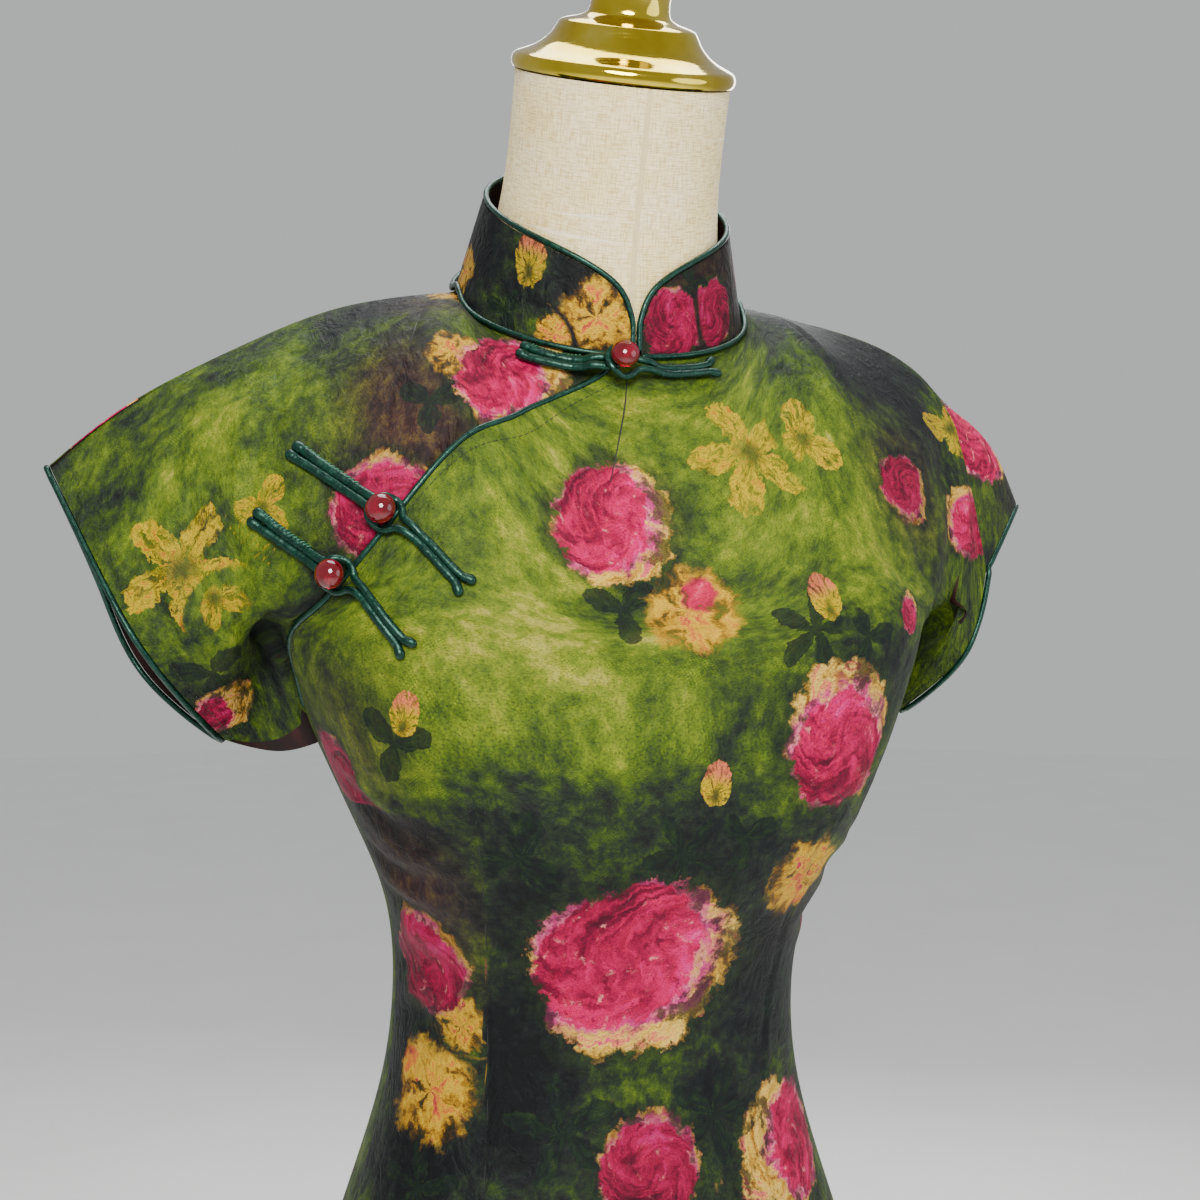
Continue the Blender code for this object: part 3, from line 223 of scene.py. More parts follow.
# The print's tables have rows for each region: the front, the side below its dart, and the other pieces.
# Painted roses: across, down, radius, turn, tone (0 bright to 1 sunk in shade), width of the pale rim
ROSES = {
    "front": (
        (-0.018, 0.442, 0.031, 5.9, 0, 0.2), (0.07, 0.985, 0.037, 1.6, 0.16, 0.2),
        (-0.006, 1.141, 0.052, 5.7, 0, 0.2), (0.006, 1.292, 0.029, 1.3, 0.55, 0.1),
        (0.094, 1.3, 0.036, 3.3, 0.1, 0.34), (0.14, 0.462, 0.02, 5.1, 0.62, 0.16),
        (0.11, 0.815, 0.0115, 0.9, 0.2, 0.2), (-0.152, 1.02, 0.029, 2.7, 0.66, 0.08),
        (0.152, 1.12, 0.028, 0.2, 0.45, 0.2), (-0.04, 1.52, 0.048, 5.3, 0.05, 0.26),
        (0.09, 1.64, 0.042, 1.9, 0.2, 0.28), (-0.11, 1.77, 0.044, 3.7, 0, 0.24),
        (0.02, 1.86, 0.036, 0.6, 0.1, 0.3), (0.14, 1.9, 0.03, 2.4, 0.5, 0.2),
        (0.236, 0.3, 0.02, 2.4, 0.3, 0.2), (-0.15, 1.43, 0.03, 4.1, 0.2, 0.26),
    ),
    "side": (
        (-0.129, 1.148, 0.029, 0.9, 0.58, 0.1),
    ),
    "right_front": (
        (-0.054, 0.262, 0.029, 5.6, 0, 0.26), (-0.122, 0.535, 0.027, 1.6, 0.48, 0.1),
        (-0.258, 0.835, 0.017, 0.8, 0.3, 0.5),
    ),
    "back": (
        (-0.15, 0.25, 0.023, 1, 0.35, 0.14), (0.036, 0.21, 0.026, 2.5, 0.15, 0.18),
        (0.16, 0.8, 0.021, 3.4, 0.4, 0.14), (-0.04, 1.48, 0.02, 0.6, 0.45, 0.1),
        (0.236, 0.11, 0.029, 0.7, 0.02, 0.26), (-0.246, 0.06, 0.024, 2.9, 0.05, 0.22),
        (-0.06, 0.36, 0.042, 1.8, 0.02, 0.26), (0.096, 0.56, 0.036, 4.4, 0.1, 0.28),
        (-0.12, 0.84, 0.03, 0.3, 0.4, 0.16), (0.02, 1.03, 0.045, 3.1, 0, 0.26),
        (0.13, 1.18, 0.032, 5.5, 0.25, 0.22), (-0.09, 1.25, 0.048, 2.2, 0.05, 0.28),
        (0.05, 1.44, 0.042, 0.9, 0, 0.24), (-0.14, 1.56, 0.03, 4.9, 0.45, 0.16),
        (-0.03, 1.68, 0.05, 3.9, 0.05, 0.26), (0.12, 1.76, 0.038, 1.4, 0.15, 0.26),
        (-0.1, 1.9, 0.036, 5.9, 0.1, 0.28),
    ),
    "collar": (
        (0.02, 0.016, 0.018, 0.5, 0.62, 0.02), (0.048, 0.018, 0.017, 2.5, 0.68, 0.02),
        (0.1, 0.026, 0.017, 1.5, 0.6, 0.02), (-0.17, 0.024, 0.02, 3.5, 0.5, 0.1),
        (0.19, 0.026, 0.019, 1.1, 0.4, 0.12),
    ),
}
# Pale open roses: across, down, radius, turn, tone, share of magenta in the heart
BLOSSOMS = {
    "front": (
        (0.01, 0.64, 0.024, 0.5, 0, 0.42), (0.076, 1.085, 0.025, 1.9, 0.1, 0.1),
        (-0.074, 1.7, 0.028, 3.1, 0.1, 0.3), (0.13, 1.42, 0.026, 4.4, 0.1, 0.2),
    ),
    "side": (
        (-0.122, 1.242, 0.029, 2.2, 0.1, 0.04), (-0.104, 1.19, 0.017, 5.2, 0.2, 0.04),
    ),
    "right_front": (
        (-0.082, 0.33, 0.015, 0.2, 0.1, 0.05), (-0.08, 0.06, 0.013, 2, 0.1, 0.05),
    ),
    "back": (
        (0.15, 1.34, 0.024, 1.1, 0.1, 0.2), (-0.16, 1.72, 0.024, 3.9, 0.1, 0.2),
        (0.03, 1.81, 0.023, 2.1, 0.05, 0.3), (0.12, 1.03, 0.02, 4.6, 0.15, 0.1),
        (-0.02, 1.2, 0.02, 5.6, 0.15, 0.2), (0.266, 0.55, 0.023, 0.8, 0, 0.15),
        (0.01, 0.7, 0.025, 2.6, 0.1, 0.3), (-0.13, 1.08, 0.026, 4, 0.15, 0.2),
        (0.11, 1.56, 0.029, 5, 0, 0.3),
    ),
    "collar": (
        (-0.02, 0.018, 0.019, 1.2, 0, 0.04), (-0.038, 0.006, 0.011, 3.2, 0.1, 0.05),
        (-0.112, 0.014, 0.014, 2.2, 0.3, 0.1),
    ),
}
# Yellow lilies and buds: across, down, radius, turn, number of petals, tone
LILIES = {
    "front": (
        (0.046, 0.375, 0.033, 2, 5, 0.1), (0.074, 0.455, 0.023, 5.8, 3, 0.1),
        (0.06, 0.785, 0.019, 1.8, 1, 0), (0.018, 1.024, 0.018, 1.4, 1, 0),
        (-0.094, 0.97, 0.018, 1.3, 1, 0.1), (0.205, 0.16, 0.02, 1, 3, 0.2),
        (-0.12, 1.56, 0.02, 1.7, 1, 0.1), (0.04, 1.44, 0.019, 1.2, 1, 0.1),
    ),
    "right_front": (
        (-0.236, 0.44, 0.033, 2.4, 5, 0.15), (-0.222, 0.53, 0.019, 4.3, 3, 0.25),
        (-0.176, 0.445, 0.017, 3.3, 3, 0.3),
    ),
    "back": (
        (0.1, 0.33, 0.017, 1.4, 1, 0.05), (-0.07, 0.63, 0.018, 1.7, 1, 0.05),
        (0.15, 1.62, 0.018, 1.5, 1, 0.05), (-0.15, 1.35, 0.018, 1.3, 1, 0.1),
        (0.084, 0.93, 0.018, 1.6, 1, 0.05), (0.16, 0.25, 0.032, 0.9, 5, 0.1),
        (-0.17, 0.48, 0.03, 2.8, 5, 0.15), (-0.02, 0.13, 0.018, 1.5, 1, 0.1),
        (0.06, 1.25, 0.019, 1.5, 1, 0), (-0.05, 1.47, 0.019, 1.9, 1, 0), (0.02, 1.88, 0.03, 0.4, 5, 0.2),
    ),
    "collar": (
        (-0.058, 0.03, 0.023, 1.6, 1, 0.25),
    ),
}
# Sprays of dark leaves: across, down, radius, turn, number of leaves
LEAVES = {
    "front": (
        (-0.016, 0.63, 0.02, 0.6, 3), (0.052, 0.835, 0.024, 1.4, 5), (0.076, 0.87, 0.018, 0.1, 3),
        (0.008, 1.06, 0.023, 2.1, 5), (0.034, 1.052, 0.019, 0.4, 3), (-0.1, 0.985, 0.021, 4.4, 3),
        (0.112, 1.18, 0.03, 1, 5), (-0.04, 1.262, 0.03, 3, 5), (0.044, 1.262, 0.028, 5, 5),
        (0.02, 1.42, 0.03, 2, 5), (-0.11, 1.62, 0.03, 0.9, 5), (0.02, 1.74, 0.032, 2.9, 5),
        (-0.064, 1.06, 0.026, 5.5, 3),
    ),
    "side": (
        (-0.118, 1.31, 0.026, 1.6, 5),
    ),
    "right_front": (
        (-0.096, 0.42, 0.018, 2.6, 3), (-0.25, 0.7, 0.02, 5.2, 3),
    ),
    "back": (
        (0.1, 0.39, 0.023, 0.6, 5), (-0.07, 0.69, 0.024, 2.1, 5), (0.15, 1.65, 0.026, 1.8, 5),
        (-0.15, 1.382, 0.026, 4.2, 5), (0.084, 0.99, 0.024, 3, 5), (0.03, 1.51, 0.03, 0.9, 5),
        (-0.07, 1.34, 0.028, 1.7, 5), (-0.096, 1.61, 0.03, 5.1, 5), (0.07, 1.84, 0.03, 2.8, 5),
        (-0.16, 1.87, 0.026, 0.5, 3), (0.246, 0.42, 0.02, 5, 3), (-0.11, 0.5, 0.03, 1.2, 5),
        (0.05, 0.82, 0.03, 3.5, 5), (-0.05, 1.13, 0.03, 0.2, 5), (0, 1.33, 0.03, 2.4, 5),
        (0.12, 1.4, 0.028, 4.1, 5), (-0.11, 1.74, 0.03, 5.7, 5),
    ),
    "collar": (
        (-0.066, 0.01, 0.013, 1, 3), (0.032, 0.034, 0.013, 4, 3),
    ),
}
# Light and dark of the ground, partly the print's own clouds and partly painted shade in folds and on the
# sides that turn from the light: across, down, reach, strength (minus is darker)
GROUND_AND_PAINTED_SHADE = {
    "front": (
        (-0.04, 0.56, 0.05, 0.18), (-0.05, 0.8, 0.055, 0.22), (-0.074, 0.95, 0.04, 0.2),
        (-0.104, 0.82, 0.036, 0.14), (-0.012, 0.92, 0.04, 0.18), (0.03, 0.52, 0.05, 0.14),
        (0.082, 0.7, 0.044, 0.3), (0.09, 0.3, 0.05, 0.1), (0.05, 0.23, 0.045, 0.16),
        (-0.018, 0.23, 0.04, 0.18), (0.104, 0.56, 0.04, 0.06), (0.06, 0.65, 0.026, -0.2),
        (-0.02, 0.72, 0.018, -0.16), (-0.086, 0.7, 0.018, -0.16), (-0.002, 0.6, 0.026, -0.26),
        (0.04, 0.87, 0.032, -0.1), (0.15, 0.01, 0.04, -0.34), (0.112, 0.11, 0.05, -0.62),
        (0.16, 0.3, 0.03, -0.26), (0.09, 0.86, 0.024, -0.26), (-0.112, 0.88, 0.03, -0.12),
        (-0.06, 1.05, 0.04, -0.44), (0.014, 1.062, 0.036, -0.36), (0.06, 1.13, 0.036, -0.4),
        (0.104, 1.18, 0.04, -0.44), (-0.06, 1.18, 0.04, -0.46), (-0.064, 1.27, 0.04, -0.44),
        (0.05, 1.24, 0.04, -0.3), (-0.022, 1.24, 0.03, 0.1), (-0.016, 1.062, 0.022, 0.1),
        (0.12, 1.02, 0.03, -0.2), (0, 1.36, 0.06, -0.2), (-0.1, 1.46, 0.06, 0.16), (0.07, 1.5, 0.06, 0.12),
        (-0.01, 1.64, 0.07, -0.3), (-0.05, 1.88, 0.07, 0.14), (0.11, 1.78, 0.06, -0.24),
        (0.23, 0.45, 0.04, -0.06), (-0.16, 1.25, 0.06, -0.3), (-0.13, 1.48, 0.06, 0.06),
    ),
    "side": (
        (-0.13, 1.08, 0.04, -0.4), (-0.12, 1.31, 0.05, -0.5), (-0.16, 1.2, 0.04, -0.3),
    ),
    "right_front": (
        (-0.138, 0.11, 0.036, -0.2), (-0.17, 0.22, 0.05, 0.2), (-0.2, 0.4, 0.018, -0.16),
        (-0.186, 0.12, 0.02, -0.14), (-0.225, 0.18, 0.016, -0.12), (-0.215, 0.3, 0.04, 0.16),
        (-0.235, 0.6, 0.045, 0.12), (-0.196, 0.9, 0.03, -0.08), (-0.15, 0.7, 0.034, -0.2),
        (-0.1, 0.42, 0.03, -0.3), (-0.18, 0.56, 0.03, 0.1), (-0.11, 0.1, 0.024, -0.26),
        (-0.262, 0.78, 0.03, -0.16),
    ),
    "back": (
        (-0.12, 0.2, 0.06, 0.16), (0.08, 0.26, 0.06, -0.16), (0.02, 0.52, 0.06, 0.22),
        (-0.16, 0.7, 0.05, -0.3), (0.14, 0.85, 0.05, 0.14), (-0.04, 0.9, 0.05, -0.2),
        (-0.03, 1.18, 0.06, -0.36), (0.11, 1.3, 0.06, 0.12), (-0.08, 1.42, 0.06, 0.18),
        (0.06, 1.6, 0.07, -0.34), (-0.1, 1.8, 0.06, -0.1), (0.08, 1.9, 0.06, 0.14),
        (0.262, 0.3, 0.03, -0.2), (0.24, 0.7, 0.03, -0.26),
    ),
    "collar": (
        (-0.02, 0.02, 0.03, -0.34), (0.06, 0.025, 0.06, -0.5), (-0.11, 0.03, 0.03, -0.36),
        (-0.062, 0.014, 0.016, 0.1), (-0.15, 0.025, 0.04, -0.1), (0.15, 0.025, 0.05, -0.3),
    ),
}
# Purple-brown shade: across, down, reach, strength
SHADE = {
    "right_front": (
        (-0.104, 0.48, 0.03, 0.75), (-0.118, 0.34, 0.022, 0.45), (-0.086, 0.14, 0.02, 0.4),
    ),
    "front": (
        (0.14, 0.47, 0.024, 0.6), (-0.12, 0.99, 0.024, 0.4), (0.1, 1.09, 0.024, 0.25),
        (-0.03, 1.69, 0.04, 0.5),
    ),
    "side": (
        (-0.124, 1.09, 0.03, 0.7), (-0.104, 1.15, 0.022, 0.4),
    ),
    "back": (
        (0.12, 0.98, 0.04, 0.5), (-0.16, 0.98, 0.04, 0.6), (-0.06, 0.18, 0.03, 0.4),
        (0.01, 1.56, 0.04, 0.5), (0.25, 0.2, 0.03, 0.35),
    ),
    "collar": (
        (0.04, 0.02, 0.04, 0.35),
    ),
}
GROUND_LEVEL = {"front": 0.50, "side": 0.40, "right_front": 0.46, "back": 0.48, "collar": 0.30}

# ---------------------------------------------------------------- the surface

# Shares of the half width: where both panels start to meet the side seam, and to part at the slit
SIDE_START, SLIT_START = 0.7, 0.6
# Folds fade at seams: across for one step of down, and over how much
FADE_BESIDE, FADE_LENGTH = 0.25, 0.12
# A fold's depth at its ends and how fast it grows; the ridge beside a crease, in its half widths and depths
FOLD_END, FOLD_POWER = 0.35, 0.7
RIDGE_PLACE, RIDGE_WIDTH, RIDGE_HEIGHT = 2.1, 0.9, 0.34


def spline_weights(knots, at):
    """Rows of weights that give a natural cubic spline through any values at these knots."""
    knots, at = np.asarray(knots, float), np.atleast_1d(np.asarray(at, float))
    count, step = len(knots), np.diff(knots)
    system, right = np.eye(count), np.zeros((count, count))
    for i in range(1, count - 1):
        system[i, i - 1 : i + 2] = step[i - 1], 2 * (step[i - 1] + step[i]), step[i]
        right[i, i - 1 : i + 2] = (
            6 / step[i - 1], -6 / step[i - 1] - 6 / step[i], 6 / step[i]
        )
    bend = np.linalg.solve(system, right)
    span = np.clip(np.searchsorted(knots, at, side="right") - 1, 0, count - 2)
    width = step[span]
    after = ((at - knots[span]) / width)[:, None]
    before = 1 - after
    values = np.eye(count)
    curve = (before**3 - before) * bend[span] + (after**3 - after) * bend[span + 1]
    return before * values[span] + after * values[span + 1] + curve * width[:, None] ** 2 / 6


def spline(knots, values, at):
    """Values of the natural cubic spline through these knots."""
    return spline_weights(knots, at) @ np.asarray(values, float)


def unit(vectors):
    return vectors / np.maximum(np.linalg.norm(vectors, axis=-1, keepdims=True), 1e-12)


def smooth_step(share):
    share = np.clip(share, 0, 1)
    return share * share * (3 - 2 * share)


def neckline(angle):
    """Points of the neckline at angles in degrees; negative angles are the wearer's right."""
    turn = np.radians(np.asarray(angle, float))
    sweep = np.stack(
        (NECK_HALF_WIDTH * np.sin(turn), -NECK_HALF_DEPTH * np.cos(turn), -NECK_HALF_DROP * np.cos(turn)),
        axis=-1,
    )
    return NECK_CENTRE + sweep


def body_ring(panel, row, across):
    """Points of one body ring, half an oval from the centre line to the side seams."""
    height, half_width, front, back, middle, front_fullness, back_fullness = row
    depth, fullness = (-front, front_fullness) if panel == "front" else (back, back_fullness)
    turn = np.clip(across / SHOULDER_END, -1, 1) * np.pi / 2
    swell = 1 + fullness * np.sin(2 * turn) ** 2
    wide, deep = half_width * np.sin(turn) * swell, middle + depth * np.cos(turn) * swell
    return np.stack((wide, deep, np.full_like(turn, height)), axis=-1)


def section_rows(panel, side):
    """The section tables of one side as (across, seam, upper, lower, underarm) rows."""
    flip = np.array((side, 1.0, 1.0))
    inner = FRONT_SECTIONS if panel == "front" else BACK_SECTIONS
    rows = [(a, s, u, l, None) for a, s, u, l in inner]
    for across, seam, front_upper, front_lower, back_upper, back_lower, under in SLEEVE_SECTIONS[side]:
        upper, lower = (front_upper, front_lower) if panel == "front" else (back_upper, back_lower)
        rows.append((across, seam, upper, lower, under))
    return [
        (row[0], *(None if point is None else flip * point for point in row[1:])) for row in rows
    ]


def top_edge(panel, across):
    """Points of the neckline and, beyond the side neck point, of the overarm seam."""
    across = np.asarray(across, float)
    share = np.clip(np.abs(across) / NECK_POINT, 0, 1) * np.sign(across + 1e-12)
    if panel == "front":
        points = neckline(share * SIDE_NECK_ANGLE)
    else:
        points = neckline(np.sign(share + 1e-12) * (180 - np.abs(share) * (180 - SIDE_NECK_ANGLE)))
    for side in (-1, 1):
        outer = side * across > NECK_POINT
        rows = [row for row in section_rows(panel, side) if row[1] is not None]
        knots = [NECK_POINT] + [row[0] for row in rows]
        values = [neckline(side * SIDE_NECK_ANGLE)] + [row[1] for row in rows]
        points[outer] = spline(knots, values, np.abs(across[outer]))
    return points


def inner_row(panel, across, which):
    """Points a third (which 2) or two thirds (3) of the way down, smooth from cuff to cuff."""
    right, left = section_rows(panel, -1), section_rows(panel, 1)
    rows = right[:0:-1] + left
    knots = [-row[0] for row in right[:0:-1]] + [row[0] for row in left]
    return spline(knots, [row[which] for row in rows], across)


def armpit_row(panel, across):
    """Points of the armpit line, which runs on as the underarm seam of each sleeve."""
    points = body_ring(panel, BODY_RINGS[0], across)
    for side in (-1, 1):
        outer = side * across > SHOULDER_END
        rows = [row for row in section_rows(panel, side) if row[4] is not None]
        start = body_ring(panel, BODY_RINGS[0], np.array([side * SHOULDER_END]))[0]
        knots = [SHOULDER_END] + [row[0] for row in rows]
        points[outer] = spline(knots, [start] + [row[4] for row in rows], np.abs(across[outer]))
    return points


DOWN_KNOTS = [0, 1 / 3, 2 / 3] + [
    1 + (ARMPIT_HEIGHT - row[0]) / (ARMPIT_HEIGHT - HEM_HEIGHT) for row in BODY_RINGS
]


def panel_surface(panel, across, down):
    """Points of one panel from its own sections and rings alone."""
    flat_across, flat_down = across.ravel(), down.ravel()
    rows = [top_edge(panel, flat_across)]
    rows += [inner_row(panel, flat_across, which) for which in (2, 3)]
    armpit = armpit_row(panel, flat_across)
    on_sleeve = np.clip((np.abs(flat_across) - SHOULDER_END) / (CUFF - SHOULDER_END), 0, 1)[:, None]
    first = body_ring(panel, BODY_RINGS[0], flat_across)
    rows.append(armpit)
    for row in BODY_RINGS[1:]:
        rows.append(armpit + (body_ring(panel, row, flat_across) - first) * (1 - on_sleeve))
    weights = spline_weights(DOWN_KNOTS, flat_down)
    points = np.einsum("nk,knc->nc", weights, np.array(rows))
    return points.reshape(*across.shape, 3)


def smooth_surface(panel, across, down):
    """Points of the dress without its folds; the panels share one side seam below the armpit."""
    across, down = np.broadcast_arrays(np.asarray(across, float), np.asarray(down, float))
    points = panel_surface(panel, across, down)
    below = (down > 1) & (np.abs(across) > SIDE_START * SHOULDER_END)
    if below.any():
        edge = np.where(across[below] < 0, -SHOULDER_END, SHOULDER_END)
        other = "back" if panel == "front" else "front"
        apart = panel_surface(other, edge, down[below]) - panel_surface(panel, edge, down[below])
        share = smooth_step((np.abs(across[below]) / SHOULDER_END - SIDE_START) / 0.3)
        points[below] += share[..., None] * apart / 2
    return points


def surface_normal(panel, across, down, surface):
    """Outward unit normals, from points a little to each side."""
    step = 1e-3
    across, down = np.broadcast_arrays(np.asarray(across, float), np.asarray(down, float))
    left, right = np.maximum(across - step, -CUFF), np.minimum(across + step, CUFF)
    above, below = np.maximum(down - step, 0), np.minimum(down + step, 2)
    along = surface(panel, right, down) - surface(panel, left, down)
    fall = surface(panel, across, below) - surface(panel, across, above)
    normal = unit(np.cross(fall, along))
    return normal if panel == "front" else -normal


def seam_fade(across, down):
    """1 on a panel and 0 at its seams, so that folds leave the seams where they are."""
    beside = np.maximum(SHOULDER_END - np.abs(across), 0) / FADE_BESIDE
    room = np.minimum(down, np.hypot(np.maximum(1 - down, 0), beside))
    return np.clip(room / FADE_LENGTH, 0, 1)


def fold_depth(panel, across, down):
    """How far the large folds push the cloth in at each point."""
    depth = np.zeros(np.shape(across))
    for where, across_a, down_a, across_b, down_b, half_width, deep in FOLDS:
        if where != panel:
            continue
        scale = ABOVE_LENGTH if max(down_a, down_b) <= 1 else BELOW_LENGTH
        run = np.array((across_b - across_a, (down_b - down_a) * scale))
        offset = np.stack((across - across_a, (down - down_a) * scale), axis=-1)
        share = np.clip(offset @ run / (run @ run), 0, 1)
        away = np.linalg.norm(offset - share[..., None] * run, axis=-1)
        taper = FOLD_END + (1 - FOLD_END) * np.sin(np.pi * share) ** FOLD_POWER
        depth += deep * taper * np.exp(-((away / half_width) ** 2))
    return depth


def flat_place(across, down):
    """Places on the cloth in metres, across and down."""
    fall = np.where(down < 1, down * ABOVE_LENGTH, ABOVE_LENGTH + (down - 1) * BELOW_LENGTH)
    return np.stack((across + 0 * fall, fall), axis=-1)


def crease_depth(pieces, across, down):
    """How far the creases of these pieces push the cloth in; each has a low ridge on either side."""
    flat = flat_place(across, down)
    depth = np.zeros(np.shape(across))
    for where, route, half_width, deep in CREASES:
        if where not in pieces:
            continue
        table = flat_place(*np.array(route).T)
        steps = np.linalg.norm(np.diff(table, axis=0), axis=1)
        travelled = np.concatenate(((0,), np.cumsum(steps)))
        nearest = np.full(np.shape(across), 1e9)
        along = np.zeros(np.shape(across))
        for i, step in enumerate(steps):
            run = (table[i + 1] - table[i]) / step
            offset = flat - table[i]
            share = np.clip(offset @ run, 0, step)
            away = np.linalg.norm(offset - share[..., None] * run, axis=-1)
            closer = away < nearest
            nearest = np.where(closer, away, nearest)
            along = np.where(closer, (travelled[i] + share) / travelled[-1], along)
        taper = np.sin(np.pi * np.clip(along * 0.92 + 0.04, 0, 1)) ** 0.6
        trough = np.exp(-((nearest / half_width) ** 2))
        ridge = np.exp(-(((nearest - RIDGE_PLACE * half_width) / (RIDGE_WIDTH * half_width)) ** 2))
        depth += deep * taper * (trough - RIDGE_HEIGHT * ridge)
    return depth


def dress_surface(panel, across, down):
    """Points of the outer face of the dress."""
    across, down = np.broadcast_arrays(np.asarray(across, float), np.asarray(down, float))
    push = fold_depth(panel, across, down) * seam_fade(across, down)
    normal = surface_normal(panel, across, down, smooth_surface)
    return smooth_surface(panel, across, down) - push[..., None] * normal


def dress_normal(panel, across, down):
    return surface_normal(panel, across, down, dress_surface)


def placket_across(down):
    """Distance of the closing edge from the centre line."""
    table = np.array(PLACKET)
    share = np.clip(np.asarray(down, float), 0, 1)
    return spline(table[:, 0], table[:, 1], share.ravel()).reshape(share.shape)


def lap_drop(across, down):
    """How far the right front dips on its way under the overlapping front."""
    return LAP_DROP * smooth_step((across + placket_across(down) + LAP_START) / (LAP_START - 0.002))


def slit_shift(panel, across, down):
    """Draws the side edges apart below the slit's top."""
    start = 1 + (ARMPIT_HEIGHT - SLIT_TOP) / (ARMPIT_HEIGHT - HEM_HEIGHT)
    share = np.clip((down - start) / (2 - start), 0, 1)
    near = (np.abs(across) / SHOULDER_END - SLIT_START) / (1 - SLIT_START)
    away = -1 if panel == "front" else 1
    shift = np.zeros((*np.shape(across), 3))
    shift[..., 1] = away * SLIT_PARTING * share * np.clip(near, 0, 1) ** 2
    return shift


# ---------------------------------------------------------------- meshes


def grid_faces(rows, columns, offset=0, closed=False):
    """Quads of a grid of points stored row by row."""
    index = np.arange(rows * columns).reshape(rows, columns) + offset
    if closed:
        index = np.hstack((index, index[:, :1]))
    quads = np.stack((index[:-1, :-1], index[1:, :-1], index[1:, 1:], index[:-1, 1:]), axis=-1)
    return quads.reshape(-1, 4)


def make_piece(name, points, faces, materials, node=None, slot=None, looks=None, fields=None, sharp=None):
    """An object of these faces in the model's frame, with its materials and its point fields."""
    mesh = bpy.data.meshes.new(name)
    mesh.from_pydata((np.asarray(points) + SHIFT).tolist(), [], [list(map(int, f)) for f in faces])
    mesh.shade_smooth()
    if sharp is not None:
        mesh.set_sharp_from_angle(angle=np.radians(sharp))
    for material in materials:
        mesh.materials.append(LOOKS[material])
    if looks is not None:
        mesh.polygons.foreach_set("material_index", np.asarray(looks, np.int32))
    for field, values in (fields or {}).items():
        values = np.asarray(values, np.float32)
        kind = "FLOAT_VECTOR" if values.ndim == 2 else "FLOAT"
        attribute = mesh.attributes.new(field, kind, "POINT")
        attribute.data.foreach_set("vector" if values.ndim == 2 else "value", values.ravel())
    mesh.validate(clean_customdata=False)
    mesh.update()
    piece = bpy.data.objects.new(name, mesh)
    bpy.context.scene.collection.objects.link(piece)
    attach(piece, "root")
    if node:
        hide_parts(node)
    return piece


def merge_grids(points, faces, fields):
    """Makes coinciding points of neighbouring grids one."""
    _, first, index = np.unique(
        np.round(points / 2e-6).astype(np.int64), axis=0, return_index=True, return_inverse=True
    )
    faces = index.reshape(-1)[faces]
    return points[first], faces, {name: values[first] for name, values in fields.items()}


def make_shell(node, points, normals, faces, fields, thickness=CLOTH):
    """A thin shell: the outer face takes the print, the inner face the lining's cloth."""
    points, faces, fields = merge_grids(points, faces, dict(fields, shell_normal=normals))
    normals = fields.pop("shell_normal")
    count = len(points)
    flipped = faces[:, ::-1] + count
    edges = np.vstack([faces[:, [k, (k + 1) % 4]] for k in range(4)])
    edges = edges[edges[:, 0] != edges[:, 1]]
    keys = edges[:, 0].astype(np.int64) * count + edges[:, 1]
    partner = edges[:, 1].astype(np.int64) * count + edges[:, 0]
    border = edges[~np.isin(keys, partner)]
    rim = np.stack((border[:, 1], border[:, 0], border[:, 0] + count, border[:, 1] + count), axis=-1)
    looks = [0] * len(faces) + [1] * len(flipped) + [0] * len(rim)
    rings = [
        [v for i, v in enumerate(face) if v != face[i - 1]]
        for face in np.vstack((faces, flipped, rim)).tolist()
    ]
    kept = [(ring, look) for ring, look in zip(rings, looks) if len(ring) > 2]
    doubled = {field: np.concatenate((values, values)) for field, values in fields.items()}
    return make_piece(
        node + "_cloth", np.vstack((points, points - thickness * normals)), [ring for ring, _ in kept],
        ["print_silk", "lining"], node, looks=[look for _, look in kept], fields=doubled, sharp=60,
    )


def sweep(path, normals, radii, sides, closed=False, flatten=1.0):
    """Points and faces of a tube along a path, its section set square to the path."""
    path = np.asarray(path, float)
    radii = np.broadcast_to(np.asarray(radii, float), (len(path),))[:, None, None]
    before, after = np.roll(path, 1, axis=0), np.roll(path, -1, axis=0)
    if not closed:
        before[0], after[-1] = path[0], path[-1]
    ahead = unit(after - before)
    across = unit(np.cross(ahead, normals))
    up = unit(np.cross(across, ahead))
    turns = np.arange(sides) * 2 * np.pi / sides
    points = (
        path[:, None]
        + radii * np.cos(turns)[None, :, None] * across[:, None]
        + radii * flatten * np.sin(turns)[None, :, None] * up[:, None]
    ).reshape(-1, 3)
    count = len(path)
    faces = []
    for i in range(count if closed else count - 1):
        for k in range(sides):
            a, b = i * sides + k, i * sides + (k + 1) % sides
            c, d = (i + 1) % count * sides + (k + 1) % sides, (i + 1) % count * sides + k
            faces.append([d, c, b, a])
    if not closed:
        faces.append(list(range(sides)))
        faces.append(list(range((count - 1) * sides, count * sides))[::-1])
    return points, faces


def rounded_ends(path, normals, radius, steps=5):
    """Adds shrinking rings at both ends of a tube's path."""
    start, finish = unit(path[0] - path[1]), unit(path[-1] - path[-2])
    turns = np.linspace(0, np.pi / 2, steps + 1)[1:]
    reach, size = radius * np.sin(turns), radius * np.cos(turns)
    size = np.maximum(size, radius * 0.06)
    head = path[0] + reach[::-1, None] * start
    tail = path[-1] + reach[:, None] * finish
    longer = np.vstack((head, path, tail))
    lined = np.vstack((np.repeat(normals[:1], steps, 0), normals, np.repeat(normals[-1:], steps, 0)))
    radii = np.concatenate((size[::-1], np.full(len(path), radius), size))
    return longer, lined, radii


def along_path(path):
    """Distance travelled along a path at each of its points."""
    return np.concatenate(((0,), np.cumsum(np.linalg.norm(np.diff(path, axis=0), axis=1))))


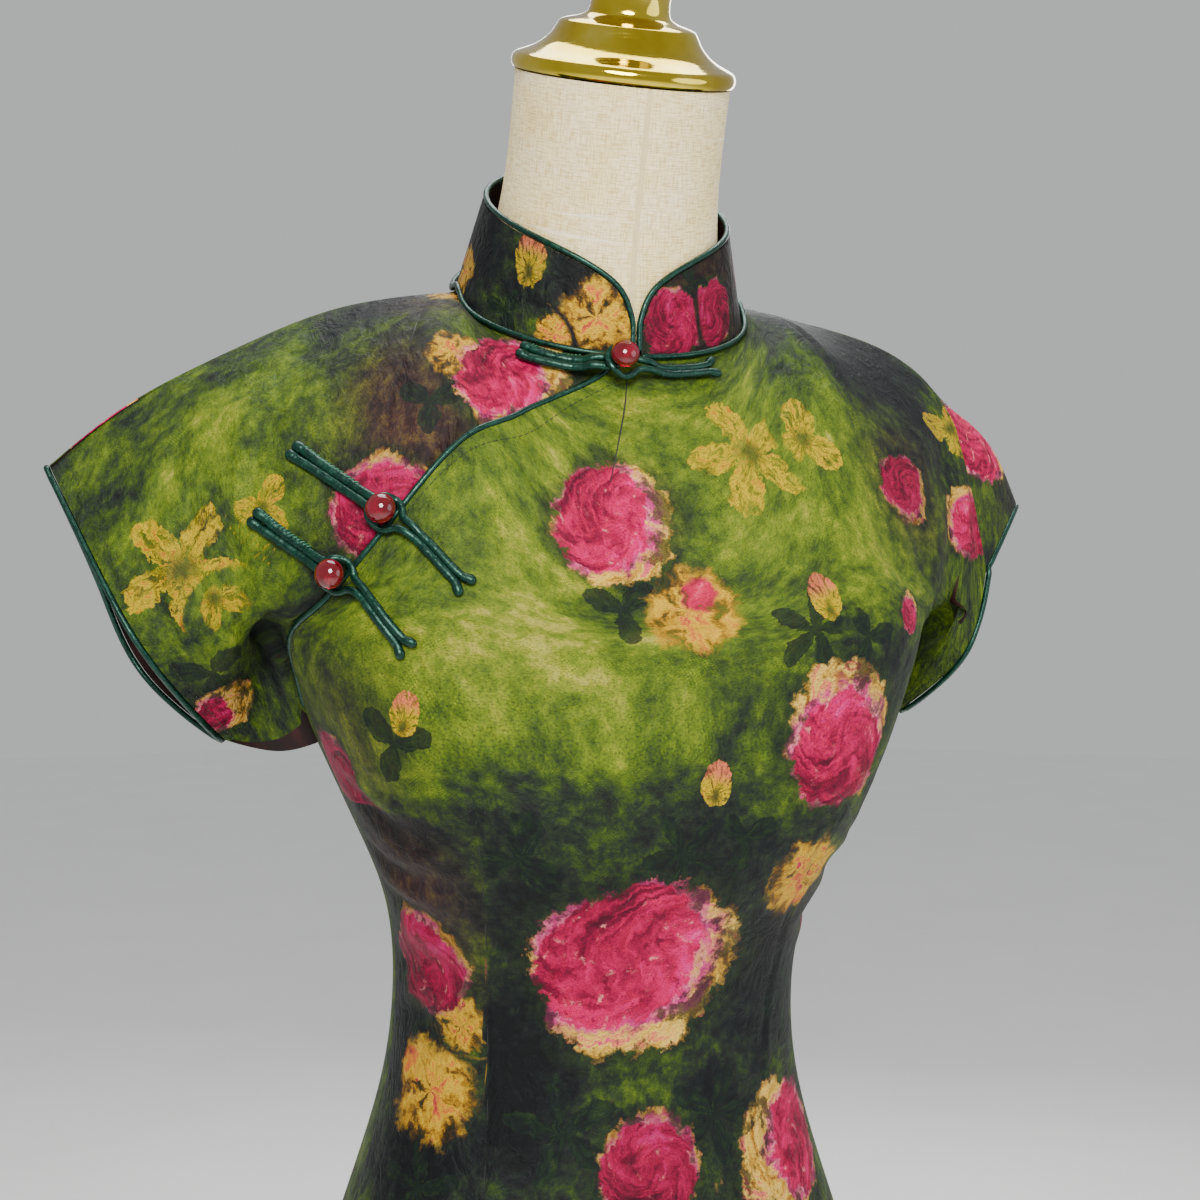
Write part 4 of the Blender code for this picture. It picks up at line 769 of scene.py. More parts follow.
def at_distance(at, travelled, table):
    """Rows of a table read at given distances along its path."""
    return np.stack([np.interp(at, travelled, table[:, k]) for k in range(table.shape[1])], axis=-1)


def resample(path, normals, spacing, closed=False):
    """A smooth curve through the points of a path, with even spacing."""
    if closed:
        path, normals = (np.vstack((rows[-3:], rows, rows[:4])) for rows in (path, normals))
    travelled = along_path(path)
    first, last = (travelled[3], travelled[-4]) if closed else (0, travelled[-1])
    at = np.linspace(first, last, max(int((last - first) / spacing), 4) + 1)
    if closed:
        at = at[:-1]
    return spline(travelled, path, at), unit(spline(travelled, normals, at))


def tube_fields(path, sides):
    """The satin's coordinates on a tube: distance along it and turn round it."""
    travelled = np.repeat(along_path(path), sides)
    turn = np.tile(np.arange(sides) / sides, len(path))
    return {"cloth": np.stack((travelled, np.abs(turn - 0.5) * 0.012, 0 * turn), axis=-1)}


def turned(profile, segments, centre, axis):
    """Points and faces of a profile of (radius, height) rows turned about an axis."""
    axis = unit(np.asarray(axis, float))
    side = unit(np.cross(axis, (0.0, 1.0, 0.0)))
    third = np.cross(axis, side)
    points, faces, rings = [], [], []
    for radius, height in profile:
        if radius < 1e-6:
            rings.append([len(points)])
            points.append(centre + height * axis)
            continue
        rings.append(list(range(len(points), len(points) + segments)))
        for k in range(segments):
            turn = 2 * np.pi * k / segments
            points.append(centre + height * axis + radius * (np.cos(turn) * side + np.sin(turn) * third))
    for low, high in zip(rings, rings[1:]):
        for k in range(segments):
            a, b = low[k % len(low)], low[(k + 1) % len(low)]
            c, d = high[(k + 1) % len(high)], high[k % len(high)]
            ring = [a, b, c, d]
            faces.append([v for i, v in enumerate(ring) if v != ring[i - 1]])
    return np.array(points), faces


def rounded_profile(profile, rounds=2):
    """Cuts a profile's corners again and again, so that it turns softly."""
    table = np.array(profile, float)
    for _ in range(rounds):
        near, far = table[:-1], table[1:]
        cut = np.stack((near * 0.75 + far * 0.25, near * 0.25 + far * 0.75), axis=1).reshape(-1, 2)
        table = np.vstack((table[:1], cut, table[-1:]))
    return table


# ---------------------------------------------------------------- print fields

# In a motif's radii: where it has ended, and over how much it fades there and towards its neighbour
MOTIF_EDGE, MOTIF_FADE = 1.34, 0.10
NEIGHBOUR_FADE, NEIGHBOUR_GAP = 0.22, 0.35
BUD_SLENDERNESS = 1.6


def nearest_motif(table, region, points, frames):
    """Coordinates in the nearest motif of each point, in its own radii, and that motif's row."""
    at, look = np.zeros((len(points), 3)), np.zeros((len(points), 3))
    best = np.full(len(points), 1e9)
    second = best.copy()
    for across, down, radius, turn, *values in table.get(region, ()):
        centre, right, up = frames(across, down)
        offset = (points - centre) / radius
        x, y = offset @ right, offset @ up
        far = np.linalg.norm(offset, axis=1)
        closer = far < best
        second = np.where(closer, best, np.minimum(second, far))
        best = np.where(closer, far, best)
        turned_x = x * np.cos(turn) + y * np.sin(turn)
        turned_y = y * np.cos(turn) - x * np.sin(turn)
        if table is LILIES and values[0] < 2:
            turned_y = turned_y * BUD_SLENDERNESS
        at[closer] = np.stack((turned_x, turned_y, 0 * x), axis=-1)[closer]
        seed = turn * 3.7 + across * 40
        look[closer] = (seed, *(*values, 0.0)[:2])
    ends = smooth_step((MOTIF_EDGE - best) / MOTIF_FADE)
    at[:, 2] = ends * smooth_step((second - best) / NEIGHBOUR_FADE - NEIGHBOUR_GAP)
    return at, look


def spread(table, region, places, level):
    """A soft sum of blobs on the flat cloth."""
    total = np.full(len(places), level)
    for across, down, reach, strength in table.get(region, ()):
        middle = np.array((across, down))
        if region != "collar":
            middle = flat_place(*middle)
        total += strength * np.exp(-(((places - middle) / reach) ** 2).sum(axis=1))
    return total


def print_fields(region, points, places, frames, seed):
    """All point fields that the print's material reads."""
    fields = {}
    for name, table in (("rose", ROSES), ("blossom", BLOSSOMS), ("lily", LILIES), ("leaf", LEAVES)):
        fields[name + "_at"], fields[name + "_look"] = nearest_motif(table, region, points, frames)
    # The ground's level holds the print's own light and dark together with painted shade in folds and on the
    # sides.
    ground = spread(GROUND_AND_PAINTED_SHADE, region, places, GROUND_LEVEL[region])
    shade = spread(SHADE, region, places, 0.0)
    fields["ground"] = np.stack((ground, shade, np.full(len(points), seed)), axis=-1)
    return fields


def panel_frames(panel):
    """A function that gives a place's point and its right and up directions on a panel."""
    def frames(across, down):
        place = np.array([[across, down]])
        centre = dress_surface(panel, place[:, 0], place[:, 1])[0]
        normal = dress_normal(panel, place[:, 0], place[:, 1])[0]
        right = unit(np.cross((0.0, 0.0, 1.0), normal))
        return centre, right, np.cross(normal, right)
    return frames


# Between these rows the side beyond the dart has its own print, blended out over the last of them
DART_TOP, DART_END, DART_BLEND = 1.035, 1.345, 0.045


def dart_across(down):
    """The waist dart's place, which parts the print of the side from that of the front."""
    across, fall = np.transpose(DART)
    return -np.interp(down, fall, across)


# ---------------------------------------------------------------- cloth pieces

ROLL_DEPTH, ROLL_WIDTH = 0.0009, 0.0022    # of the cloth beside its sewn seams
LAP_BESIDE = 0.016                         # even columns of the right front beside the closing edge


def body_columns():
    return np.linspace(0, SHOULDER_END, COLUMNS_BODY + 1)


def side_columns():
    return np.concatenate((body_columns(), np.linspace(SHOULDER_END, CUFF, COLUMNS_SLEEVE + 1)[1:]))


def rows_above():
    return np.linspace(0, 1, ROWS_ABOVE + 1)


def rows_below():
    return np.concatenate((
        np.linspace(1, WAIST_END, ROWS_WAIST + 1), np.linspace(WAIST_END, 2, ROWS_SKIRT + 1)[1:],
    ))


def seam_roll(across, down):
    """How far the cloth rolls in beside its sewn seams."""
    flat = flat_place(across, down)[..., 1]
    overarm = np.where(np.abs(across) > NECK_POINT, flat, 1.0)
    side = np.where(down >= 1, SHOULDER_END - np.abs(across), 1.0) * 1.3
    side = np.where((np.abs(across) > SHOULDER_END) & (down <= 1), ABOVE_LENGTH - flat, side)
    near = np.minimum(np.abs(overarm), np.abs(side))
    return ROLL_DEPTH * np.exp(-((near / ROLL_WIDTH) ** 2))


def shown_creases(regions, across, down):
    """The creases' depth, which fades out just before the seams."""
    return crease_depth(regions, across, down) * np.clip(seam_fade(across, down) * 1.5, 0, 1)


def cloth_grids(panel, region, grids, seed):
    """Points, normals, faces and fields of a piece given as (across, down) grids on a panel."""
    points, normals, faces, fields, offset = [], [], [], [], 0
    frames = panel_frames(panel)
    for across, down in grids:
        normal = surface_normal(panel, across, down, smooth_surface)
        push = shown_creases((region,), across, down) + seam_roll(across, down)
        if region == "right_front":
            push = push + lap_drop(across, down)
        point = dress_surface(panel, across, down) - push[..., None] * normal
        point = point + slit_shift(panel, across, down)
        flat_points, places = point.reshape(-1, 3), flat_place(across, down).reshape(-1, 2)
        entry = print_fields(region, flat_points, places, frames, seed)
        beyond = ((across < dart_across(down)) & (down > DART_TOP) & (down < DART_END)).ravel()
        if region == "front" and beyond.any():
            other = print_fields("side", flat_points[beyond], places[beyond], frames, seed + 5.0)
            share = smooth_step((down.ravel()[beyond] - DART_END + DART_BLEND) / DART_BLEND)[:, None]
            other["ground"] += (entry["ground"][beyond] - other["ground"]) * share
            for name in entry:
                entry[name][beyond] = other[name]
        entry["cloth"] = np.hstack((places, np.full((len(places), 1), seed)))
        points.append(flat_points)
        normals.append(normal.reshape(-1, 3))
        fields.append(entry)
        quads = grid_faces(*across.shape, offset)
        faces.append(quads if panel == "front" else quads[:, ::-1])
        offset += across.size
    joined = {name: np.concatenate([entry[name] for entry in fields]) for name in fields[0]}
    return np.vstack(points), np.vstack(normals), np.vstack(faces), joined


def mirrored(columns):
    return np.concatenate((-columns[:0:-1], columns))


def make_cloth():
    """The front, the right front that runs on under it, and the back."""
    above, below = rows_above()[:, None], rows_below()[:, None]
    share = body_columns()[None, ::-1] / SHOULDER_END
    closing = placket_across(above)
    lapped = np.linspace(-LAP_WIDTH, LAP_BESIDE, 12)[None, :]
    outward = np.linspace(0, 1, 76)[None, 1:]
    right = -np.hstack((closing + lapped, closing + LAP_BESIDE + (CUFF - closing - LAP_BESIDE) * outward))
    body = mirrored(body_columns())
    pieces = (
        ("front", "front", 1.0, ((side_columns(), above), (-closing * share, above), (body, below))),
        ("right_front", "front", 2.0, ((right, above),)),
        ("back", "back", 3.0, ((mirrored(side_columns()), above), (body, below))),
    )
    for name, panel, seed, grids in pieces:
        grids = [np.broadcast_arrays(across, down) for across, down in grids]
        make_shell(name, *cloth_grids(panel, name, grids, seed))


def leaning(degrees):
    """An upward direction that leans forward."""
    return np.array((0.0, -np.sin(np.radians(degrees)), np.cos(np.radians(degrees))))


def collar_height(angle):
    """Height of the collar, low where its ends meet at the front and falling steeply there."""
    angle = np.abs(angle)
    rise = 1 - np.exp(-angle / 20.0)
    fall = 1 - 0.68 * np.exp(-np.maximum(angle - 1.6, 0) / 2.2)
    return (COLLAR_FRONT_HEIGHT + (COLLAR_HEIGHT - COLLAR_FRONT_HEIGHT) * rise) * fall


def collar_frame(angle):
    """Root points of the collar with their up and outward directions."""
    root = neckline(angle)
    spoke, axis, taper = root - NECK_CENTRE, leaning(COLLAR_LEAN), np.radians(COLLAR_TAPER)
    outward = unit(spoke - (spoke @ axis)[..., None] * axis)
    up = axis * np.cos(taper) - outward * np.sin(taper)
    out = outward * np.cos(taper) + axis * np.sin(taper)
    return root, up, out


COLLAR_ROUND = 0.070    # mean radius by which a turn round the collar becomes a length


def make_collar():
    """The standing collar, open at the centre front."""
    half = np.concatenate((np.linspace(2.1, 6, 22), np.linspace(6.4, 30, 34)[1:], np.linspace(31, 180, 120)))
    angle = np.concatenate((half, (360 - half[-2::-1])))
    signed = np.where(angle > 180, angle - 360, angle)
    root, up, out = collar_frame(signed)
    share = np.linspace(0, 1, 24)[:, None, None]
    height = collar_height(signed)[None, :, None] - 0.0004
    lift = 0.0014    # clear of the neck seam
    level = lift + (height - lift) * share
    points = root + up * level
    normals = np.broadcast_to(out, points.shape)
    along = np.radians(signed)[None, :] * COLLAR_ROUND
    places = np.stack((along + 0 * level[..., 0], level[..., 0]), axis=-1).reshape(-1, 2)
    flat_points = np.hstack((places, np.zeros((len(places), 1))))

    def frames(across, rise):
        return np.array((across, rise, 0.0)), np.array((1.0, 0.0, 0.0)), np.array((0.0, 1.0, 0.0))

    fields = print_fields("collar", flat_points, places, frames, 4.0)
    fields["cloth"] = np.hstack((places, np.full((len(places), 1), 4.0)))
    faces = grid_faces(*level.shape[:2])[:, ::-1]
    make_shell("collar", points.reshape(-1, 3), normals.reshape(-1, 3), faces, fields, WALL)


# ---------------------------------------------------------------- trims


def make_tube(node, path, normals, closed=False):
    """A satin piping along a path."""
    path, normals = resample(path, normals, 0.0012, closed)
    radii = PIPING_RADIUS
    if not closed:
        path, normals, radii = rounded_ends(path, normals, PIPING_RADIUS)
    points, faces = sweep(path, normals, radii, 12, closed)
    make_piece(node + "_satin", points, faces, ["green_satin"], node, fields=tube_fields(path, 12))


def both_ways(half, sign=-1):
    """Values for one half of the neck, carried on for the other half."""
    return np.concatenate((half, sign * half[-2::-1]))


def make_pipings():
    """Satin piping of the collar, the neck seam, the closing edge and the cuffs."""
    half = np.concatenate((np.linspace(2, 6, 14), np.linspace(7, 30, 12), np.linspace(36, 180, 40)))
    reach = 0.066    # mean radius of the collar's edge
    slope = np.gradient(collar_height(half), np.radians(half) * reach)
    off = PIPING_RADIUS / np.hypot(1, slope)
    lowered = half - np.degrees(off * slope / reach)
    angle = both_ways(np.concatenate(((1.32, 1.32, 1.36), np.maximum(lowered, 1.40))))
    height = both_ways(np.concatenate(((0.0040, 0.0060, 0.0080), collar_height(half) + off)), 1)
    root, up, out = collar_frame(angle)
    make_tube("collar_piping", root + up * height[:, None] - out * WALL / 2, out)

    angle = both_ways(np.concatenate((np.linspace(2.5, 30, 12), np.linspace(36, 180, 40))))
    root, up, out = collar_frame(angle)
    behind, beside = 180 - np.abs(angle), 0.03
    front = dress_normal("front", np.clip(angle / SIDE_NECK_ANGLE, -1, 1) * NECK_POINT, beside)
    across = np.sign(angle) * np.minimum(behind / (180 - SIDE_NECK_ANGLE), 1) * NECK_POINT
    back = dress_normal("back", across, beside)
    share = smooth_step((SIDE_NECK_ANGLE + 12 - np.abs(angle)) / 24)[:, None]
    ahead = unit(np.gradient(root, axis=0))
    cloth, wall = (
        unit(side - np.sum(side * ahead, axis=1, keepdims=True) * ahead)
        for side in (front * share + back * (1 - share), out)
    )
    clear = PIPING_RADIUS + 0.0004
    path = root + clear * (cloth + wall) / (1 + np.sum(cloth * wall, axis=1, keepdims=True))
    make_tube("neckline_piping", path, up)

    down = np.linspace(0.045, 0.965, 70)
    across = -placket_across(down)
    edge, normal = dress_surface("front", across, down), dress_normal("front", across, down)
    beside = unit(np.cross(np.gradient(edge, axis=0), normal))
    make_tube("placket_piping", edge + beside * (PIPING_RADIUS + 0.0001) - normal * 0.0004, normal)

    for name, side in (("right_cuff_piping", -1), ("left_cuff_piping", 1)):
        down = np.linspace(0, 1, 41)
        across = np.full(len(down), side * CUFF)
        edges, outs, normals = [], [], []
        for panel in ("front", "back"):
            edge = dress_surface(panel, across, down)
            edges.append(edge)
            outs.append(unit(edge - dress_surface(panel, across - side * 0.004, down)))
            normals.append(dress_normal(panel, across, down))
        for table in (outs, normals):
            table[0][[0, -1]] = unit(table[0][[0, -1]] + table[1][[0, -1]])
        edge, out, normal = (np.vstack((t[0], t[1][-2:0:-1])) for t in (edges, outs, normals))
        beside = unit(np.cross(np.roll(edge, -1, axis=0) - np.roll(edge, 1, axis=0), normal))
        beside *= np.sign(np.sum(beside * out, axis=1, keepdims=True))
        make_tube(name, edge + beside * (PIPING_RADIUS + 0.0003) - normal * CLOTH / 2, normal, closed=True)


def frog_frame(button, end, reach, from_end=False):
    """Places on the dress at given distances from the button, or from the wing's end."""
    button, end = np.array(button), np.array(end)
    share = np.linspace(0, 1, 41)[:, None]
    route = button + (end - button) * share
    points = dress_surface("front", route[:, 0], route[:, 1])
    travelled = along_path(points)
    length = travelled[-1]
    reach = length - np.asarray(reach) if from_end else np.asarray(reach)
    share = np.interp(reach, travelled, share[:, 0])
    place = button + (end - button) * share[:, None]
    points = dress_surface("front", place[:, 0], place[:, 1])
    normals = dress_normal("front", place[:, 0], place[:, 1])
    ahead = unit(points[np.argmax(share)] - points[np.argmin(share)])
    return points, normals, unit(np.cross(normals, ahead))


# Lanes of a wing: distance from its end, then half the distance between the lanes
LANES = {
    "ball": (
        (0, 0.0025), (0.0016, 0.0026), (0.0048, 0.0025), (0.009, 0.0023), (0.013, 0.0021), (0.018, 0.002),
    ),
    "loop": (
        (0, 0.0038), (0.0014, 0.0032), (0.003, 0.0024), (0.0048, 0.002), (0.009, 0.0018), (0.018, 0.0017),
    ),
}
# Radius of each wing's cord: at its ends, then round the button
WING_CORD = {"ball": (0.0024, 0.0024 * 0.92), "loop": (0.0020, 0.0018)}
RING_RADIUS, BEND_REACH = 0.0075, 0.0045    # the loop round the button, and how near to it a ball wing bends


def wing_lanes(button, end, lift, kind):
    """Both lanes of a wing, from its spread end in to 0.014 from the button."""
    table = np.array(LANES[kind])
    outer = frog_frame(button, end, table[:, 0], from_end=True)
    inner = frog_frame(button, end, (0.024, 0.017, 0.014))
    points, normals, side = (np.vstack(pair) for pair in zip(outer, inner))
    close = table[-1, 1]
    lane = np.concatenate((table[:, 1], (close, close, LANE * 0.98)))[:, None]
    rest = CORD_REST + (lift - CORD_LIFT) / 3 - 0.0003
    height = np.array((rest,) * (len(table) + 1) + ((rest + lift) / 2, lift))[:, None]
    middle = points + normals * height
    return middle + side * lane, middle - side * lane, normals


def wing_axes(one, two, centre, upright):
    """Directions from the button along a wing and towards its first lane."""
    towards = (one + two) / 2 - centre
    towards = unit(towards - (towards @ upright) * upright)
    sideways = np.cross(upright, towards)
    return towards, sideways * np.sign((one - two) @ sideways)


def make_cord(node, path, normals, end_radius, middle_radius):
    """A flattened satin cord, fuller at its spread ends and finer where it turns round the button."""
    path, normals = resample(path, normals, 0.0007)
    travelled = along_path(path)
    outer = np.abs(travelled / travelled[-1] - 0.5)
    radius = middle_radius + (end_radius - middle_radius) * smooth_step((outer - 0.18) / 0.12)
    radius = radius * (1 + 0.16 * smooth_step((outer - 0.462) / 0.03))
    radius = radius * (1 + 0.03 * np.sin(travelled * 900.0) + 0.02 * np.sin(travelled * 2300.0))
    count, caps = len(path), 4
    path, normals, radii = rounded_ends(path, normals, radius[0], caps)
    radii[caps : caps + count] = radius
    points, faces = sweep(path, normals, radii, 16, flatten=0.86)
    make_piece(node + "_satin", points, faces, ["green_satin"], node, fields=tube_fields(path, 16))


def make_sewing(name, stitches, material):
    """One piece of many small stitches, each with its own points and faces."""
    points, faces, offset = [], [], 0
    for ring, sides in stitches:
        points.append(ring)
        faces += [[v + offset for v in face] for face in sides]
        offset += len(ring)
    make_piece(name, np.vstack(points), faces, [material], slot="green_satin")


def make_edge_stitches(name, lane, middle, normals):
    """Small slanted stitches that hold a ball wing's upper edge to the cloth; their pale green paints the
    satin's highlight on them.
    """
    travelled = along_path(lane)
    at = np.linspace(0.0016, travelled[-1] * 0.80, 15)
    on_lane, between, lined = (at_distance(at, travelled, table) for table in (lane, middle, normals))
    outward, ahead = unit(on_lane - between), unit(np.gradient(on_lane, axis=0))
    arc = np.radians((60.0, 32.0, 4.0, -30.0))[:, None]
    slant, radii = 0.0004 * np.arange(4)[:, None], np.array((0.5, 1.0, 1.0, 0.6)) * 0.00030
    stitches = []
    for start, out, up, on in zip(on_lane, outward, unit(lined), ahead):
        line = start + out * (0.0024 * np.cos(arc)) + up * (0.0021 * np.sin(arc)) + on * slant
        stitches.append(sweep(line, np.repeat(on[None], 4, 0), radii, 6))
    make_sewing(name, stitches, "highlight_painted_thread")


def make_frog(name, button, ball_end, loop_end, lift):
    """A ball button with its two wings of doubled satin cord."""
    place = np.array(button)[:, None]
    centre = dress_surface("front", *place)[0]
    upright = dress_normal("front", *place)[0]
    for kind, end, first, steps in (("ball", ball_end, 90, 5), ("loop", loop_end, 34, 21)):
        one, two, normals = wing_lanes(button, end, lift, kind)
        towards, sideways = wing_axes(one[-1], two[-1], centre, upright)
        turn = np.radians(np.linspace(first, 360 - first, steps))[:, None]
        if kind == "ball":
            ring = centre + upright * lift + towards * (BEND_REACH + LANE * np.cos(turn))
            ring = ring + sideways * LANE * np.sin(turn)
        else:
            over = smooth_step((0.15 - np.cos(turn)) / 0.95)
            ring = centre + upright * (lift + LOOP_RISE * over)
            ring = ring + RING_RADIUS * (towards * np.cos(turn) + sideways * np.sin(turn))
        lined = np.vstack((normals, np.repeat(upright[None], steps, 0), normals[::-1]))
        make_cord(f"{name}_{kind}_wing", np.vstack((one, ring, two[::-1])), lined, *WING_CORD[kind])
        if kind == "ball":
            upper = one if one[0, 2] > two[0, 2] else two
            make_edge_stitches(name + "_edge_stitches", upper, (one + two) / 2, normals)

    tall = BUTTON_RADIUS * BUTTON_FLATNESS
    middle = centre + upright * (lift + CORD_RADIUS + SEAM_GAP + tall)
    turns = np.radians(np.linspace(-90, 90, 26)[1:-1])
    profile = [(0, -tall)] + [(BUTTON_RADIUS * np.cos(t), tall * np.sin(t)) for t in turns] + [(0, tall)]
    make_piece(name + "_glass_button", *turned(profile, 48, middle, upright), ["red_glass"], name + "_button")


STITCH_LENGTH, STITCH_PITCH, STITCH_RADIUS = 0.0022, 0.0031, 0.00022
DART_WIDTH = 0.0027    # a crease no wider than this is a sewn dart or seam


def make_stitches(name, panel, across, down):
    """A row of short stitches lying on the cloth along a route of a panel."""
    path = dress_surface(panel, across, down)
    normals = surface_normal(panel, across, down, smooth_surface)
    travelled = along_path(path)
    stitches = []
    for start in np.arange(0.002, travelled[-1] - STITCH_LENGTH, STITCH_PITCH):
        at = np.linspace(start, start + STITCH_LENGTH, 4)
        line, lined = at_distance(at, travelled, path), at_distance(at, travelled, normals)
        line = line + lined * (STITCH_RADIUS * np.array((0.2, 1.0, 1.0, 0.2)))[:, None]
        stitches.append(sweep(line, lined, STITCH_RADIUS * np.array((0.5, 1.0, 1.0, 0.5)), 6))
    make_sewing(name, stitches, "thread")


def make_dart_shadow_lines():
    """Dark tubes that paint the shade where the cloth folds into each dart."""
    for number, (where, route, half_width, _) in enumerate(CREASES):
        if half_width > DART_WIDTH:
            continue
        table = np.array(route)
        travelled = along_path(flat_place(*table.T))
        at = np.linspace(0.0, travelled[-1], 60)
        read = at_distance if len(table) < 3 else lambda at, knots, rows: spline(knots, rows, at)
        across, down = read(at, travelled, table).T
        down = np.clip(down, 0.004, 1.99)
        panel = "back" if where == "back" else "front"
        normal = surface_normal(panel, across, down, smooth_surface)
        path = dress_surface(panel, across, down) - shown_creases((where,), across, down)[:, None] * normal
        radii = 0.00042 * np.sin(np.linspace(0.25, np.pi - 0.25, len(path))) ** 0.5
        points, faces = sweep(path, normal, radii, 6, flatten=0.6)
        make_piece(f"{where}_dart_{number}", points, faces, ["dart_shadow"], slot="print_silk")


def make_all_stitches():
    """The stitching beside the closing edge and round the cuffs."""
    down = np.linspace(0.075, 0.93, 120)
    make_stitches("closing_edge_stitches", "front", -placket_across(down) + 0.0055, down)
    down = np.linspace(0.02, 0.98, 100)
    for name, side in (("right_cuff", -1), ("left_cuff", 1)):
        for panel in ("front", "back"):
            across = np.full(len(down), side * (CUFF - 0.0085))
            make_stitches(f"{name}_{panel}_stitches", panel, across, down)


# ---------------------------------------------------------------- form and stand

NECK_ROUND = 0.055    # mean radius by which a turn round the form's neck becomes a length


def form_columns(down, fine=48):
    """Columns of the form, which on the shoulders stop short of the sleeves."""
    columns = np.linspace(0, SHOULDER_END, fine + 1)
    share = np.clip((columns - NECK_POINT) / (SHOULDER_END - NECK_POINT), 0, 1)
    short = (SHOULDER_END - ARM_END_TOP) * (1 - smooth_step(down))
    return columns - short * share


def form_surface(panel, across, down):
    """Points of the form, just inside the cloth and further in towards the arm ends and the lap."""
    across, down = np.broadcast_arrays(across, down)
    above = smooth_step((1 - down) / 0.2)
    beside = smooth_step((np.abs(across) - 0.110) / 0.07) * above
    closing = placket_across(down)
    lap = np.abs(across + closing) if panel == "front" else 2 * SHOULDER_END + across - closing
    dent = smooth_step((0.050 - lap) / 0.024) * smooth_step((1.25 - down) / 0.2)
    drop = WALL + FORM_CLEARANCE + 0.0020 * above + 0.005 * beside + LAP_DROP * dent
    normal = surface_normal(panel, across, down, smooth_surface)
    seam = (np.abs(across) > NECK_POINT - 1e-6) & (down < 1e-6)
    seam |= (np.abs(across) > SHOULDER_END - 1e-6) & (down > 1 - 1e-6)
    other = surface_normal("back" if panel == "front" else "front", across, down, smooth_surface)
    normal = np.where(seam[..., None], unit(normal + other), normal)
    regions = ("front", "right_front") if panel == "front" else ("back",)
    creases = np.maximum(crease_depth(regions, across, down), 0)
    return dress_surface(panel, across, down) - (drop + creases)[..., None] * normal


def neck_ring(angle, share):
    """Points round the form's neck, a given share of the way up it."""
    turn = np.radians(angle)[:, None]
    axis = leaning(NECK_LEAN)
    root = (neckline(angle) - NECK_CENTRE) * 0.92
    forward = np.array((0.0, -axis[2], axis[1]))
    top = NECK_TOP_RADIUS * (np.sin(turn) * np.array((1.0, 0.0, 0.0)) + np.cos(turn) * forward)
    narrowing = 1 - (1 - share) ** 3.4
    return NECK_CENTRE + axis * NECK_LENGTH * share + root * (1 - narrowing) + top * narrowing


def make_form():
    """The linen torso and neck, with flat covered arm ends."""
    above, below = np.linspace(0, 1, 45)[:, None], np.linspace(1, 1.6, 46)[:, None]
    points, faces, places, count = [], [], [], 0

    def add(grid, place):
        nonlocal count
        index = np.arange(grid.size // 3).reshape(grid.shape[:-1]) + count
        points.append(grid.reshape(-1, 3))
        places.append(np.broadcast_to(place, (*grid.shape[:-1], 2)).reshape(-1, 2))
        count += grid.size // 3
        return index

    upper = {}
    for panel in ("front", "back"):
        half = form_columns(above)
        across = np.hstack((-half[:, :0:-1], half))
        upper[panel] = add(form_surface(panel, across, above), flat_place(across, above + 0 * across))
        across = mirrored(form_columns(1.0))[None, :] + 0 * below
        lower = add(form_surface(panel, across, below), flat_place(across, below + 0 * across))
        for index in (upper[panel], lower):
            quads = grid_faces(*index.shape, index[0, 0])
            faces += (quads if panel == "front" else quads[:, ::-1]).tolist()
        rim = np.vstack(points)[lower[-1]]
        heart = add(rim.mean(axis=0)[None] * np.array((0.0, 1.0, 1.0)), np.zeros(2))[0]
        order = lower[-1] if panel == "front" else lower[-1][::-1]
        faces += [[int(a), heart, int(b)] for a, b in zip(order, order[1:])]

    for edge, flip in ((0, 1), (-1, -1)):
        loop = np.concatenate((upper["front"][:, edge], upper["back"][-2:0:-1, edge]))
        table = np.vstack(points)[loop]
        heart = table.mean(axis=0)
        rings = [loop]
        for share in (0.96, 0.6, 0.0):
            if share:
                ring = add(heart + (table - heart) * share, np.zeros(2))
            else:
                ring = np.repeat(add(heart[None], np.zeros(2)), len(loop))
            for a, b, c, d in zip(rings[-1], np.roll(rings[-1], -1), np.roll(ring, -1), ring):
                face = [int(v) for i, v in enumerate((a, b, c, d)) if v != (a, b, c, d)[i - 1]]
                faces.append(face[::flip])
            rings.append(ring)

    angle = np.linspace(0, 360, 121)[:-1]
    signed = np.where(angle > 180, angle - 360, angle)
    shares = np.concatenate(((0.02, 0.06), np.linspace(0.10, 1.0, 34)))
    rings = np.array([neck_ring(signed, share) for share in shares])
    around = np.radians(angle)[None, :] * NECK_ROUND
    place = np.stack(np.broadcast_arrays(around, -shares[:, None] * NECK_LENGTH), axis=-1)
    index = add(rings, place)
    faces += grid_faces(*index.shape, index[0, 0], closed=True).tolist()
    top_heart = add(rings[-1].mean(axis=0)[None], np.zeros(2))[0]
    faces += [[int(a), int(b), top_heart] for a, b in zip(index[-1], np.roll(index[-1], -1))]
    flat = np.vstack(places)
    fields = {"cloth": np.hstack((flat, np.full((len(flat), 1), 6.0)))}
    make_piece("form_linen", np.vstack(points), faces, ["linen"], "form", fields=fields, sharp=50)


